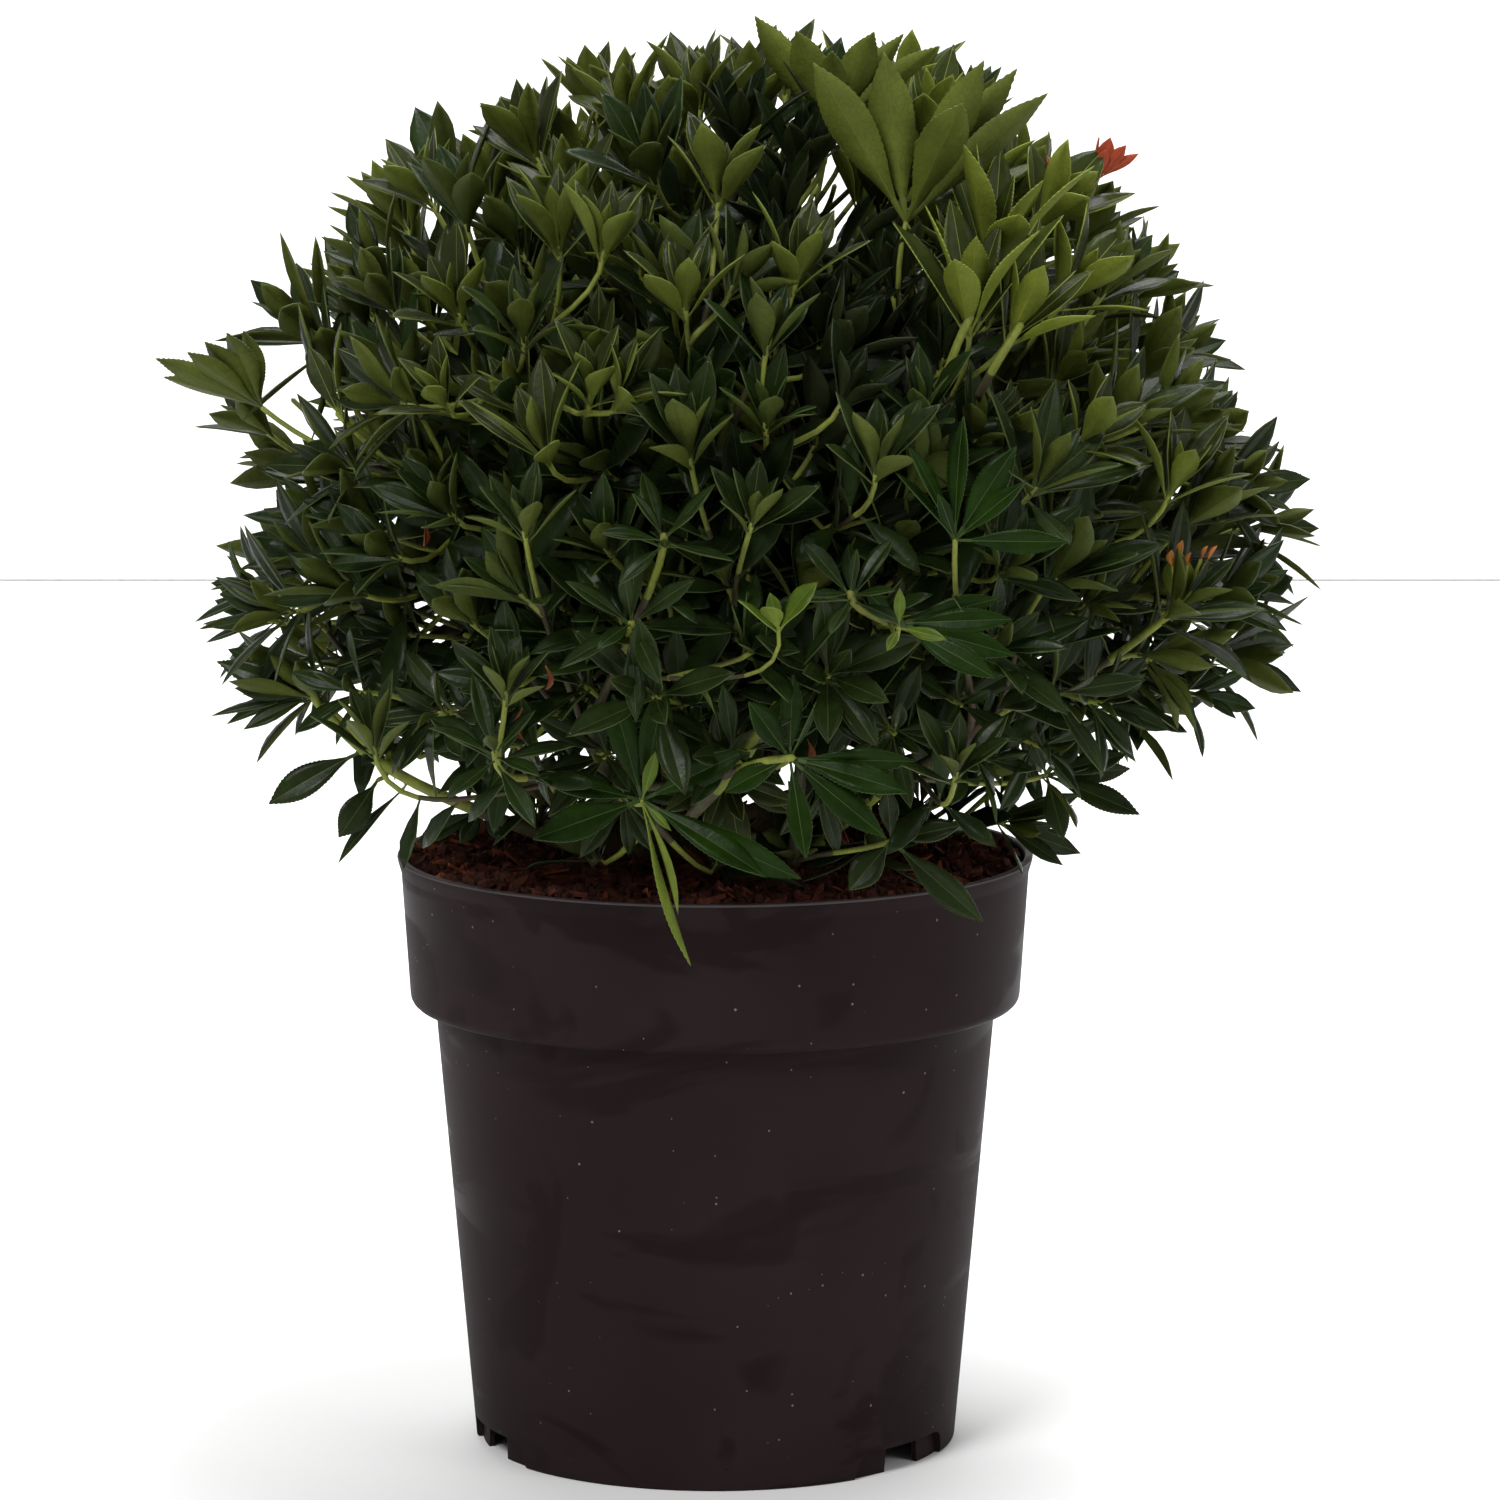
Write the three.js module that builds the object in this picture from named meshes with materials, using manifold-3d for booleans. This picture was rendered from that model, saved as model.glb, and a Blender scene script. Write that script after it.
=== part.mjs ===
// A potted Japanese pieris: a compact evergreen shrub in a round nursery pot.
// Millimetres, +Z up, +X to the right of the front view, and the front faces -Y.
// The origin is the centre of the pot's flat underside.

import * as THREE from 'three';
import { mergeVertices } from 'three/addons/utils/BufferGeometryUtils.js';
import Module from 'manifold-3d';

const wasm = await Module();
wasm.setup();

// Driving dimensions of the pot
const POT_HEIGHT = 215;
const RIM_RADIUS = 115;
const COLLAR_TOP_RADIUS = 113.4;
const COLLAR_FOOT_RADIUS = 110.4;
const COLLAR_HEIGHT = 54;
const BODY_TOP_RADIUS = 101.5;
const BODY_FOOT_RADIUS = 87.3;
const WALL = 2;
const LIP_HEIGHT = 6;
const LIP_STEP = 1.5;
const COLLAR_CHAMFER = 3.5;
const COLLAR_WALL = 3;
const CHANNEL_HEIGHT = 13;
const CHANNEL_SLANT = 3;
const BASE_DISC_RADIUS = 61;
const SKIRT = 4.2;
const RECESSES = 3;
const RECESS_DEPTH = 2.1;
const RECESS_HEIGHT = 9.5;
const RECESS_END_WIDTH = 18;
const RECESS_STEP = THREE.MathUtils.degToRad(11.5);
const FIRST_RECESS = THREE.MathUtils.degToRad(-158);
const DRAIN_WIDTH = 19;
const ROUND_SIDES = 36;

// Driving dimensions of the soil and of the stool that the stems rise from
const GAP = 0.3;
const FINEST = 0.01;
const SOIL_EDGE_Z = 206;
const SOIL_CROWN_Z = 209.5;
const SOIL_SHOULDER = 22;
const SOIL_FLAT_Z = 209;
const SOIL_FLAT_RADIUS = 52;
const STOOL_X = -14;
const STOOL_HEIGHT = 19;
const STOOL_FOOT_RADIUS = 31;
const STOOL_TOP_RADIUS = 17;
const STOOL_FLARE = 1.7;
const STOOL_LOBES = 5;
const LOBE_SHARE = 0.07;

// Driving dimensions of the crown
const CROWN_CENTRE = new THREE.Vector3(12, 0, 320);
const CROWN_REACH = 199;
const UNDERSIDE_DROP = 26;
const REACH_VARIATION = 5;
const LOWEST_SINE = -0.56;
const SHOOT_SPACING = 44;
const SHOOT_DEPTH = 66;
const MOST_SHOOTS = 110;
const LEAVES_PER_SHOOT = 6;
const LEAF_RANKS = 14;
const LEAF_TRIES = 70;
const LEAF_LENGTH = 64;
const LEAF_WIDTH = 28;
const LEAF_THICKNESS = 2.2;
const LEAF_SPACING = 3.2;
const TWIG_RADIUS = 1.9;
const BOUGH_TAPER = 0.62;
const LEAF_FOLD = 2;
const LEAF_DROOP = 1.5;
const LEAF_LEAN = 0.94;
const TIGHTEST_OPENING = 8;
const WIDEST_OPENING = 76;
const OPENING_SPREAD = 12;
const OPEN_RANK = 4.5;
const LENGTH_SPREAD = 0.18;
const SHOOT_SPREAD = 0.36;
const SWELL = 0.4;
const ROLLS = [0, 0.4, 0.8, 1.2, 1.6];
const CELL_MARGIN = 0.2;

const GOLDEN_ANGLE = THREE.MathUtils.degToRad(137.508);
const UP = new THREE.Vector3(0, 0, 1);

const COLOURS = {
  pot: { color: '#2b2425', roughness: 0.5 },
  soil: { color: '#4a2b1f', roughness: 0.95 },
  stem: { color: '#6d6a3c', roughness: 0.7 },
  foliage: { color: '#2c4a28', roughness: 0.45 },
};

// Numbers between 0 and 1 that look random and never change
function seeded(index, stream) {
  const value = Math.sin(index * 12.9898 + stream * 78.233) * 43758.5453;
  return value - Math.floor(value);
}

// Numbers between 0 and 1 that fill a space evenly, one stream for each of its directions
function evenly(index, stream) {
  const step = [0.8191725134, 0.6710436067, 0.5497004779][stream];
  const value = 0.5 + index * step;
  return value - Math.floor(value);
}

// A closed geometry as a solid with shared corners and no collapsed triangles
function toSolid(geometry) {
  const bare = new THREE.BufferGeometry();
  bare.setAttribute('position', geometry.getAttribute('position'));
  bare.setIndex(geometry.index);
  const merged = mergeVertices(bare, 1e-3);
  const triangles = [];
  for (let i = 0; i < merged.index.count; i += 3) {
    const corners = [0, 1, 2].map((k) => merged.index.getX(i + k));
    if (new Set(corners).size === 3) triangles.push(...corners);
  }
  const vertProperties = new Float32Array(merged.getAttribute('position').array);
  const solidOf = (corners) =>
    new wasm.Manifold(new wasm.Mesh({ numProp: 3, vertProperties, triVerts: new Uint32Array(corners) }));
  const solid = solidOf(triangles);
  return solid.volume() > 0 ? solid : solidOf(triangles.toReversed());
}

// Whether no two corners of a solid lie closer together than its finest detail
function isSound(solid) {
  const { vertProperties } = solid.getMesh();
  const corners = [];
  for (let i = 0; i < vertProperties.length; i += 3) {
    corners.push(new THREE.Vector3(...vertProperties.subarray(i, i + 3)));
  }
  corners.sort((a, b) => a.x - b.x);
  return corners.every((corner, i) => {
    for (let k = i + 1; k < corners.length && corners[k].x - corner.x < FINEST; k += 1) {
      if (corners[k].distanceTo(corner) < FINEST) return false;
    }
    return true;
  });
}

function toGeometry(solid) {
  const mesh = solid.getMesh();
  const geometry = new THREE.BufferGeometry();
  geometry.setAttribute('position', new THREE.BufferAttribute(mesh.vertProperties, 3));
  geometry.setIndex(new THREE.BufferAttribute(mesh.triVerts, 1));
  return geometry;
}

// The mesh of a solid. Only its largest body stays, so sealed hollows fill and scraps drop.
function toMesh(name, solid, look) {
  const bodies = solid.decompose();
  bodies.sort((a, b) => b.volume() - a.volume());
  const geometry = toGeometry(bodies[0]);
  geometry.computeVertexNormals();
  const made = new THREE.Mesh(geometry, new THREE.MeshStandardMaterial({ ...look, metalness: 0 }));
  made.name = name;
  return made;
}

// A profile of radius and height, turned round the vertical axis
function turned(profile) {
  const points = profile.map(([radius, z]) => new THREE.Vector2(radius, z));
  return toSolid(new THREE.LatheGeometry(points, ROUND_SIDES).rotateX(Math.PI / 2));
}

// A tapering limb: a cylinder bent along a curve, its section rolled round the curve by an angle
function limb(curve, startRadius, endRadius, sides, steps, roll = 0) {
  const geometry = new THREE.CylinderGeometry(1, 1, 1, sides, steps).rotateY(roll);
  const frames = curve.computeFrenetFrames(steps, false);
  const position = geometry.getAttribute('position');
  for (let i = 0; i < position.count; i += 1) {
    const along = position.getY(i) + 0.5;
    const step = Math.round(along * steps);
    const radius = THREE.MathUtils.lerp(startRadius, endRadius, along);
    const corner = curve
      .getPointAt(step / steps)
      .addScaledVector(frames.normals[step], position.getX(i) * radius)
      .addScaledVector(frames.binormals[step], position.getZ(i) * radius);
    position.setXYZ(i, corner.x, corner.y, corner.z);
  }
  return toSolid(geometry);
}

// The pot: a tapering body under a wide collar, on a disc and a skirt with drainage recesses

const COLLAR_FOOT_Z = POT_HEIGHT - COLLAR_HEIGHT;
const LIP_FOOT_Z = POT_HEIGHT - LIP_HEIGHT;

function potInside() {
  return [
    [0, WALL],
    [BASE_DISC_RADIUS - WALL, WALL],
    [BASE_DISC_RADIUS - WALL + CHANNEL_SLANT, CHANNEL_HEIGHT + WALL],
    [BODY_FOOT_RADIUS - WALL, CHANNEL_HEIGHT + WALL],
    [BODY_TOP_RADIUS - WALL, COLLAR_FOOT_Z + WALL],
    [COLLAR_FOOT_RADIUS - COLLAR_WALL, COLLAR_FOOT_Z + WALL],
    [COLLAR_TOP_RADIUS - WALL, LIP_FOOT_Z],
  ];
}

function potOutside(clearance) {
  const profile = [
    [BODY_FOOT_RADIUS, 0],
    [BODY_TOP_RADIUS, COLLAR_FOOT_Z],
    [COLLAR_FOOT_RADIUS - COLLAR_CHAMFER, COLLAR_FOOT_Z],
    [COLLAR_FOOT_RADIUS, COLLAR_FOOT_Z + COLLAR_CHAMFER],
    [COLLAR_TOP_RADIUS, LIP_FOOT_Z],
    [RIM_RADIUS, LIP_FOOT_Z + LIP_STEP],
    [RIM_RADIUS, POT_HEIGHT],
    [RIM_RADIUS - COLLAR_WALL, POT_HEIGHT],
  ];
  return profile.map(([radius, z]) => [radius + clearance, z + clearance]);
}

function potUnderside() {
  return [
    [0, 0],
    [BASE_DISC_RADIUS, 0],
    [BASE_DISC_RADIUS + CHANNEL_SLANT, CHANNEL_HEIGHT],
    [BODY_FOOT_RADIUS - SKIRT, CHANNEL_HEIGHT],
    [BODY_FOOT_RADIUS - SKIRT, 0],
  ];
}

// Each recess in the skirt is cut by three boxes side by side, and the middle one goes through
function potSolid() {
  let pot = turned([...potUnderside(), ...potOutside(0), ...potInside().reverse()]);
  const cuts = [
    { step: -1, depth: RECESS_DEPTH, width: RECESS_END_WIDTH },
    { step: 0, depth: 1.5 * SKIRT, width: DRAIN_WIDTH },
    { step: 1, depth: RECESS_DEPTH, width: RECESS_END_WIDTH },
  ];
  for (let recess = 0; recess < RECESSES; recess += 1) {
    for (const { step, depth, width } of cuts) {
      const cutter = new THREE.BoxGeometry(2 * depth, width, 2 * RECESS_HEIGHT);
      cutter.translate(BODY_FOOT_RADIUS, 0, 0);
      cutter.rotateZ(FIRST_RECESS + (recess * 2 * Math.PI) / RECESSES + step * RECESS_STEP);
      pot = pot.subtract(toSolid(cutter));
    }
  }
  return pot;
}

// The soil fills the pot and is level round the stool

function soilSolid(clearance) {
  const inside = potInside().map(([radius, z]) => [radius - GAP, z + GAP]);
  inside[0][0] = 0;
  const rim = inside.pop();
  return turned([
    ...inside,
    [rim[0] - 0.2, SOIL_EDGE_Z + clearance],
    [rim[0] - SOIL_SHOULDER, SOIL_CROWN_Z + clearance],
    [SOIL_FLAT_RADIUS, SOIL_FLAT_Z + clearance],
    [0, SOIL_FLAT_Z + clearance],
  ]);
}

// The stool: the low, flared and lobed foot of the stems, cut flat where it meets the soil

function stoolSolid(clearance) {
  const geometry = new THREE.CylinderGeometry(1, 1, STOOL_HEIGHT, 16, 3);
  const position = geometry.getAttribute('position');
  for (let i = 0; i < position.count; i += 1) {
    const height = position.getY(i) / STOOL_HEIGHT + 0.5;
    const angle = Math.atan2(position.getZ(i), position.getX(i));
    const flare = Math.pow(1 - height, STOOL_FLARE);
    const radius = THREE.MathUtils.lerp(STOOL_TOP_RADIUS, STOOL_FOOT_RADIUS, flare) + clearance;
    const lobe = 1 + LOBE_SHARE * Math.cos(STOOL_LOBES * angle + 0.8);
    const reach = Math.hypot(position.getX(i), position.getZ(i)) * radius * lobe;
    const z = SOIL_FLAT_Z + GAP + height * (STOOL_HEIGHT + clearance);
    position.setXYZ(i, STOOL_X + reach * Math.cos(angle), reach * Math.sin(angle), z);
  }
  return toSolid(geometry);
}

// The masses of foliage: one at the top, a ring under it and a wider ring at the outside.
// Each has a bough that carries it, from the stool to a little over half way.

function ring(name, count, radius, z, turn, bough) {
  return Array.from({ length: count }, (_, i) => {
    const angle = turn + (i * 2 * Math.PI) / count;
    const outward = new THREE.Vector3(Math.cos(angle), Math.sin(angle), 0);
    const heart = new THREE.Vector3(CROWN_CENTRE.x, 0, z).addScaledVector(outward, radius);
    return { name: `${name}_${i + 1}`, heart, outward, ...bough };
  });
}

const UPPER_BOUGH = { foot: { ring: 11.5, z: 219 }, rise: 0.8, share: 0.58, radius: 4.4 };
const OUTER_BOUGH = { foot: { ring: 20, z: 216 }, rise: 0.5, share: 0.52, radius: 4.1 };

const MASSES = [
  {
    name: 'top',
    heart: new THREE.Vector3(6, 0, 452),
    outward: new THREE.Vector3(0, 0, 0),
    foot: { ring: 0, z: 222 },
    rise: 1,
    share: 0.6,
    radius: 4.8,
  },
  ...ring('upper', 4, 100, 392, 0.6, UPPER_BOUGH),
  ...ring('outer', 6, 138, 278, 0.1, OUTER_BOUGH),
];

function boughCurve(mass) {
  const foot = new THREE.Vector3(STOOL_X, 0, mass.foot.z).addScaledVector(mass.outward, mass.foot.ring);
  const tip = foot.clone().lerp(mass.heart, mass.share);
  const start = mass.outward.clone().lerp(UP, mass.rise).normalize();
  const reach = tip.distanceTo(foot);
  return new THREE.QuadraticBezierCurve3(foot, foot.clone().addScaledVector(start, reach * 0.45), tip);
}

function boughSolid(mass, clearance) {
  return limb(boughCurve(mass), mass.radius + clearance, mass.radius * BOUGH_TAPER + clearance, 6, 5);
}

// The stem of a mass runs on from its bough's tip to the mass's heart
function stemCurve(mass) {
  const bough = boughCurve(mass);
  const heading = bough.getTangentAt(1);
  const start = bough.getPointAt(1).addScaledVector(heading, GAP);
  const reach = mass.heart.distanceTo(start);
  return new THREE.QuadraticBezierCurve3(
    start,
    start.clone().addScaledVector(heading, reach * 0.45),
    mass.heart.clone(),
  );
}

// How far the crown reaches from its centre in a direction: nearly round, a little less below
function crownReach(direction) {
  const under = THREE.MathUtils.smoothstep(-direction.z, 0.12, 0.4);
  const azimuth = Math.atan2(direction.y, direction.x);
  const lumps = Math.sin(3 * azimuth + 1.3) * Math.cos(5 * direction.z + 0.6);
  return CROWN_REACH - UNDERSIDE_DROP * under + REACH_VARIATION * lumps;
}

// The shoots that stand out of the round crown: where their leaf tips reach and how they head
const MARKED_SHOOTS = [
  { reach: [-202, -10, 400], heading: [-0.82, -0.1, 0.5], size: 0.95 },
  { reach: [14, 0, 524], heading: [-0.1, 0, 1], size: 0.95 },
  { reach: [84, -58, 509], heading: [0.15, -0.15, 1], size: 1.2 },
  { reach: [100, -82, 484], heading: [0.1, -0.1, 1], size: 1.15 },
  { reach: [141, 20, 474], heading: [0.35, 0.05, 0.9], size: 0.8 },
  { reach: [226, 0, 341], heading: [0.95, 0, 0.15], size: 1 },
  { reach: [186, -70, 352], heading: [0.6, -0.3, 0.7], size: 0.95 },
  { reach: [218, -20, 288], heading: [0.95, -0.1, -0.12], size: 1 },
  { reach: [152, -50, 238], heading: [0.85, -0.3, -0.25], size: 0.9 },
  { reach: [94, -126, 214], heading: [0.35, -0.65, -0.55], size: 0.9 },
  { reach: [-13, -134, 203], heading: [0.05, -0.5, -0.85], size: 1.05 },
  { reach: [-162, -30, 243], heading: [-0.93, -0.1, -0.25], size: 0.95 },
  { reach: [-190, 0, 302], heading: [-0.97, 0, -0.1], size: 0.95 },
  { reach: [-186, 6, 271], heading: [-0.97, 0.05, -0.15], size: 0.9 },
];

function shootOf(reach, heading, size) {
  const tip = reach.clone().addScaledVector(heading, -LEAF_LEAN * LEAF_LENGTH * size);
  const distances = MASSES.map((mass) => mass.heart.distanceTo(tip));
  return { tip, heading, size, mass: distances.indexOf(Math.min(...distances)) };
}

function markedShoots() {
  return MARKED_SHOOTS.map(({ reach, heading, size }) =>
    shootOf(new THREE.Vector3(...reach), new THREE.Vector3(...heading).normalize(), size),
  );
}

// An evenly spread point of the crown's shell as a shoot, more of them near the outside
function crownShoot(index) {
  const azimuth = 2 * Math.PI * evenly(index, 0);
  const sine = THREE.MathUtils.lerp(LOWEST_SINE, 1, evenly(index, 1));
  const level = Math.sqrt(1 - sine * sine);
  const outward = new THREE.Vector3(level * Math.cos(azimuth), level * Math.sin(azimuth), sine);
  const depth = SHOOT_DEPTH * Math.pow(evenly(index, 2), 1.8);
  const reach = CROWN_CENTRE.clone().addScaledVector(outward, crownReach(outward) - depth);
  const lift = 0.12 + 0.5 * THREE.MathUtils.smoothstep(sine, -0.35, 0.5);
  const heading = outward.clone().addScaledVector(UP, lift);
  heading.x += SHOOT_SPREAD * (seeded(index, 1) - 0.5);
  heading.y += SHOOT_SPREAD * (seeded(index, 2) - 0.5);
  return shootOf(reach, heading.normalize(), 0.92 + 0.16 * seeded(index, 3));
}

// Every shoot of the crown, none closer to another than the spacing
function crownShoots() {
  const shoots = markedShoots();
  for (let index = 0; shoots.length < MOST_SHOOTS && index < 4000; index += 1) {
    const shoot = crownShoot(index);
    if (shoots.every((other) => other.tip.distanceTo(shoot.tip) > SHOOT_SPACING)) shoots.push(shoot);
  }
  return shoots;
}

// The fork of a new twig: the point of the older ones that is near and already heads its way
function forkFor(tip, curves) {
  let best = null;
  for (const curve of curves) {
    for (let t = 0.3; t < 0.95; t += 0.1) {
      const point = curve.getPointAt(t);
      const tangent = curve.getTangentAt(t);
      const way = tip.clone().sub(point);
      const cost = way.length() * (1.5 - way.clone().normalize().dot(tangent));
      if (best === null || cost < best.cost) best = { point, tangent, cost };
    }
  }
  return best;
}

function twigCurve(shoot, curves) {
  const fork = forkFor(shoot.tip, curves);
  const way = shoot.tip.clone().sub(fork.point);
  return new THREE.CubicBezierCurve3(
    fork.point,
    fork.point.clone().addScaledVector(way, 0.25).addScaledVector(fork.tangent, way.length() * 0.06),
    shoot.tip.clone().addScaledVector(shoot.heading, -way.length() * 0.35),
    shoot.tip,
  );
}

// A leaf: an octahedron with its corners drawn out, thickest near its stalk and folded upwards
function leafSolid(root, along, face, length) {
  const side = new THREE.Vector3().crossVectors(along, face);
  const at = (forward, across, above) =>
    root
      .clone()
      .addScaledVector(along, forward)
      .addScaledVector(side, across)
      .addScaledVector(face, above);
  const width = (LEAF_WIDTH * length) / LEAF_LENGTH;
  const corners = {
    '1,0,0': at(length * 0.55, width / 2, LEAF_FOLD),
    '-1,0,0': at(length * 0.55, -width / 2, LEAF_FOLD),
    '0,0,1': at(length * 0.2, 0, LEAF_THICKNESS / 2),
    '0,0,-1': at(length * 0.24, 0, -LEAF_THICKNESS / 2),
    '0,1,0': at(length, 0, -LEAF_DROOP),
    '0,-1,0': at(-TWIG_RADIUS / 3, 0, 0),
  };
  const geometry = new THREE.OctahedronGeometry(1);
  const position = geometry.getAttribute('position');
  for (let i = 0; i < position.count; i += 1) {
    const key = [position.getX(i), position.getY(i), position.getZ(i)].map((v) => Math.round(v) + 0);
    const corner = corners[key.join(',')];
    position.setXYZ(i, corner.x, corner.y, corner.z);
  }
  return toSolid(geometry);
}

// The leaves of a shoot: a golden-angle spiral that opens from the tip downwards
function leafPlaces(shoot, curve, seed) {
  const total = curve.getLength();
  return Array.from({ length: LEAF_TRIES }, (_, i) => {
    const rank = i % LEAF_RANKS;
    const t = 1 - (1.5 + rank * LEAF_SPACING) / total;
    const axis = curve.getTangentAt(Math.max(t, 0));
    const across = new THREE.Vector3(1, 0, 0).cross(axis).normalize();
    across.applyAxisAngle(axis, i * GOLDEN_ANGLE + 2 * Math.PI * seeded(seed, 4));
    const spread = i === 0 ? 0 : OPENING_SPREAD * seeded(seed * 90 + i, 5);
    const opened = THREE.MathUtils.lerp(TIGHTEST_OPENING, WIDEST_OPENING, Math.min(1, rank / OPEN_RANK));
    const opening = THREE.MathUtils.degToRad(opened + spread);
    const along = axis.clone().multiplyScalar(Math.cos(opening));
    along.addScaledVector(across, Math.sin(opening));
    const face = axis.clone().multiplyScalar(Math.sin(opening));
    face.addScaledVector(across, -Math.cos(opening));
    const shorter = i === 0 ? 0 : LENGTH_SPREAD * seeded(seed * 90 + i, 6);
    const length = LEAF_LENGTH * shoot.size * (1 - shorter);
    return { t, root: curve.getPointAt(Math.max(t, 0)), along, face, length };
  }).filter(({ t }) => t > 0.2);
}

// Whether every corner of a solid lies nearer to its own mass's heart than to any other
function staysInCell(solid, own) {
  const { vertProperties } = solid.getMesh();
  const heart = MASSES[own].heart;
  for (let i = 0; i < vertProperties.length; i += 3) {
    const corner = new THREE.Vector3(...vertProperties.subarray(i, i + 3));
    for (const [index, other] of MASSES.entries()) {
      const span = other.heart.distanceTo(heart);
      const room = other.heart.distanceToSquared(corner) - heart.distanceToSquared(corner);
      if (index !== own && room < 2 * span * CELL_MARGIN) return false;
    }
  }
  return true;
}

function touches(solid, others) {
  return others.some((other) => !other.intersect(solid).isEmpty());
}

// What foliage may not touch: the pot, the soil, the stool and the boughs, all a little swollen
function obstacles() {
  const filledPot = turned([[0, WALL], ...potOutside(SWELL), [0, SOIL_EDGE_Z]]);
  const boughs = MASSES.map((mass) => boughSolid(mass, SWELL));
  return wasm.Manifold.union([filledPot, soilSolid(SWELL), stoolSolid(SWELL), ...boughs]);
}

// A mass: its stem, then every twig, then the leaves that touch nothing but the twig they grow on.
// A piece that would leave a sliver where it joins is skipped as well.
function massSolid(own, shoots, inTheWay) {
  const mass = MASSES[own];
  const stem = stemCurve(mass);
  const curves = [stem];
  const twigs = [limb(stem, mass.radius * BOUGH_TAPER, TWIG_RADIUS * 1.15, 5, 4)];
  let whole = twigs[0];
  const sprays = [];
  for (const [seed, shoot] of shoots.entries()) {
    if (shoot.mass !== own) continue;
    const curve = twigCurve(shoot, curves);
    const rolled = ROLLS.map((roll) => limb(curve, TWIG_RADIUS, TWIG_RADIUS, 3, 2, roll));
    const twig = rolled.find(
      (one) => staysInCell(one, own) && !touches(one, [inTheWay]) && isSound(whole.add(one)),
    );
    if (!twig) continue;
    whole = whole.add(twig);
    curves.push(curve);
    twigs.push(twig);
    sprays.push({ twig, places: leafPlaces(shoot, curve, seed) });
  }
  const leaves = [];
  for (const { twig, places } of sprays) {
    const others = twigs.filter((other) => other !== twig);
    let grown = 0;
    for (const { root, along, face, length } of places) {
      const leaf = leafSolid(root, along, face, length);
      if (grown === LEAVES_PER_SHOOT || !staysInCell(leaf, own)) continue;
      if (touches(leaf, [inTheWay, ...others, ...leaves])) continue;
      const joined = whole.add(leaf);
      if (!isSound(joined)) continue;
      whole = joined;
      leaves.push(leaf);
      grown += 1;
    }
  }
  return whole;
}

// The whole plant in its pot

function plant() {
  const group = new THREE.Group();
  group.add(toMesh('pot', potSolid(), COLOURS.pot));
  group.add(toMesh('potting_soil', soilSolid(0), COLOURS.soil));
  group.add(toMesh('rootstock', stoolSolid(0), COLOURS.stem));
  const seat = stoolSolid(GAP);
  for (const mass of MASSES) {
    group.add(toMesh(`bough_${mass.name}`, boughSolid(mass, 0).subtract(seat), COLOURS.stem));
  }
  const inTheWay = obstacles();
  const shoots = crownShoots();
  for (const [own, mass] of MASSES.entries()) {
    group.add(toMesh(`foliage_${mass.name}`, massSolid(own, shoots, inTheWay), COLOURS.foliage));
  }
  return group;
}

const group = plant();

export default group;
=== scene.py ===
"""The looks of a potted Japanese pieris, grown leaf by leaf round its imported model.

Sizes and places are in millimetres in the model's own frame, as in the part's source: +Z is up,
the front faces -Y and the origin is the centre of the pot's underside. Meshes are made in metres.
"""

import math
from dataclasses import dataclass, field

import bpy
import numpy as np
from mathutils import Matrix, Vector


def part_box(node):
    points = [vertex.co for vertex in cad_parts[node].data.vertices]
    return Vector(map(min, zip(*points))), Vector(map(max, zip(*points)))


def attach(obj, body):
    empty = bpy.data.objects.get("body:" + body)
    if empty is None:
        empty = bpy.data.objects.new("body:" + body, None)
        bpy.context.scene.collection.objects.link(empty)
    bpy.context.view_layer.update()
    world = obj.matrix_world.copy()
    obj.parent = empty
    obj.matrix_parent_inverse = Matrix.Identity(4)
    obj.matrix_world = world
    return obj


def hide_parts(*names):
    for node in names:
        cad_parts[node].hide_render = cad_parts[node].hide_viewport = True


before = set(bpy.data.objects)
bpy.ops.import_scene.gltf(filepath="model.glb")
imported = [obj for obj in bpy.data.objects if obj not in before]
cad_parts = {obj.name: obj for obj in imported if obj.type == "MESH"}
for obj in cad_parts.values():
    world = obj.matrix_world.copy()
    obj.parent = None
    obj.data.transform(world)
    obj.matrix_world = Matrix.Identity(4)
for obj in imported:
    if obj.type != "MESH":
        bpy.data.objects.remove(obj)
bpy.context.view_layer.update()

MM = 0.001
UP = np.array([0.0, 0.0, 1.0])
GOLDEN_ANGLE = math.radians(137.508)

# Driving dimensions of the pot, its height and rim from the frame
pot_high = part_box("pot")[1]
POT_HEIGHT = pot_high.z / MM
RIM_RADIUS = pot_high.x / MM
LIP_HEIGHT = 6
COLLAR_TOP_RADIUS = 113.4
COLLAR_FOOT_RADIUS = 110.4
COLLAR_HEIGHT = 54
COLLAR_WALL = 3
BODY_TOP_RADIUS = 101.5
BODY_FOOT_RADIUS = 87.3
WALL = 2
CHANNEL_HEIGHT = 13
CHANNEL_SLANT = 3
BASE_DISC_RADIUS = 61
SKIRT = 4.2
RECESSES = 3
RECESS_DEPTH = 2.3
RECESS_HEIGHT = 9.4
RECESS_HALF_ANGLE = math.radians(17)
DRAIN_HALF_ANGLE = math.radians(6.5)
FIRST_RECESS = math.radians(-158)

# Driving dimensions of the soil and of the stool that the stems rise from
SOIL_EDGE_Z = 211.5
SOIL_CROWN_Z = 212.5
SOIL_BED_FOOT_Z = 196
SOIL_GRIT = 1.3
CHIP_REACH = 110.5
FIBRE_REACH = 106
FIBRES = 230
STOOL_X = -14
STOOL_FOOT_Z = 207
STOOL_HEIGHT = 19
STOOL_FOOT_RADIUS = 31
STOOL_TOP_RADIUS = 17
STOOL_FLARE = 1.7
STOOL_LOBES = 5
LOBE_SHARE = 0.07

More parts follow.
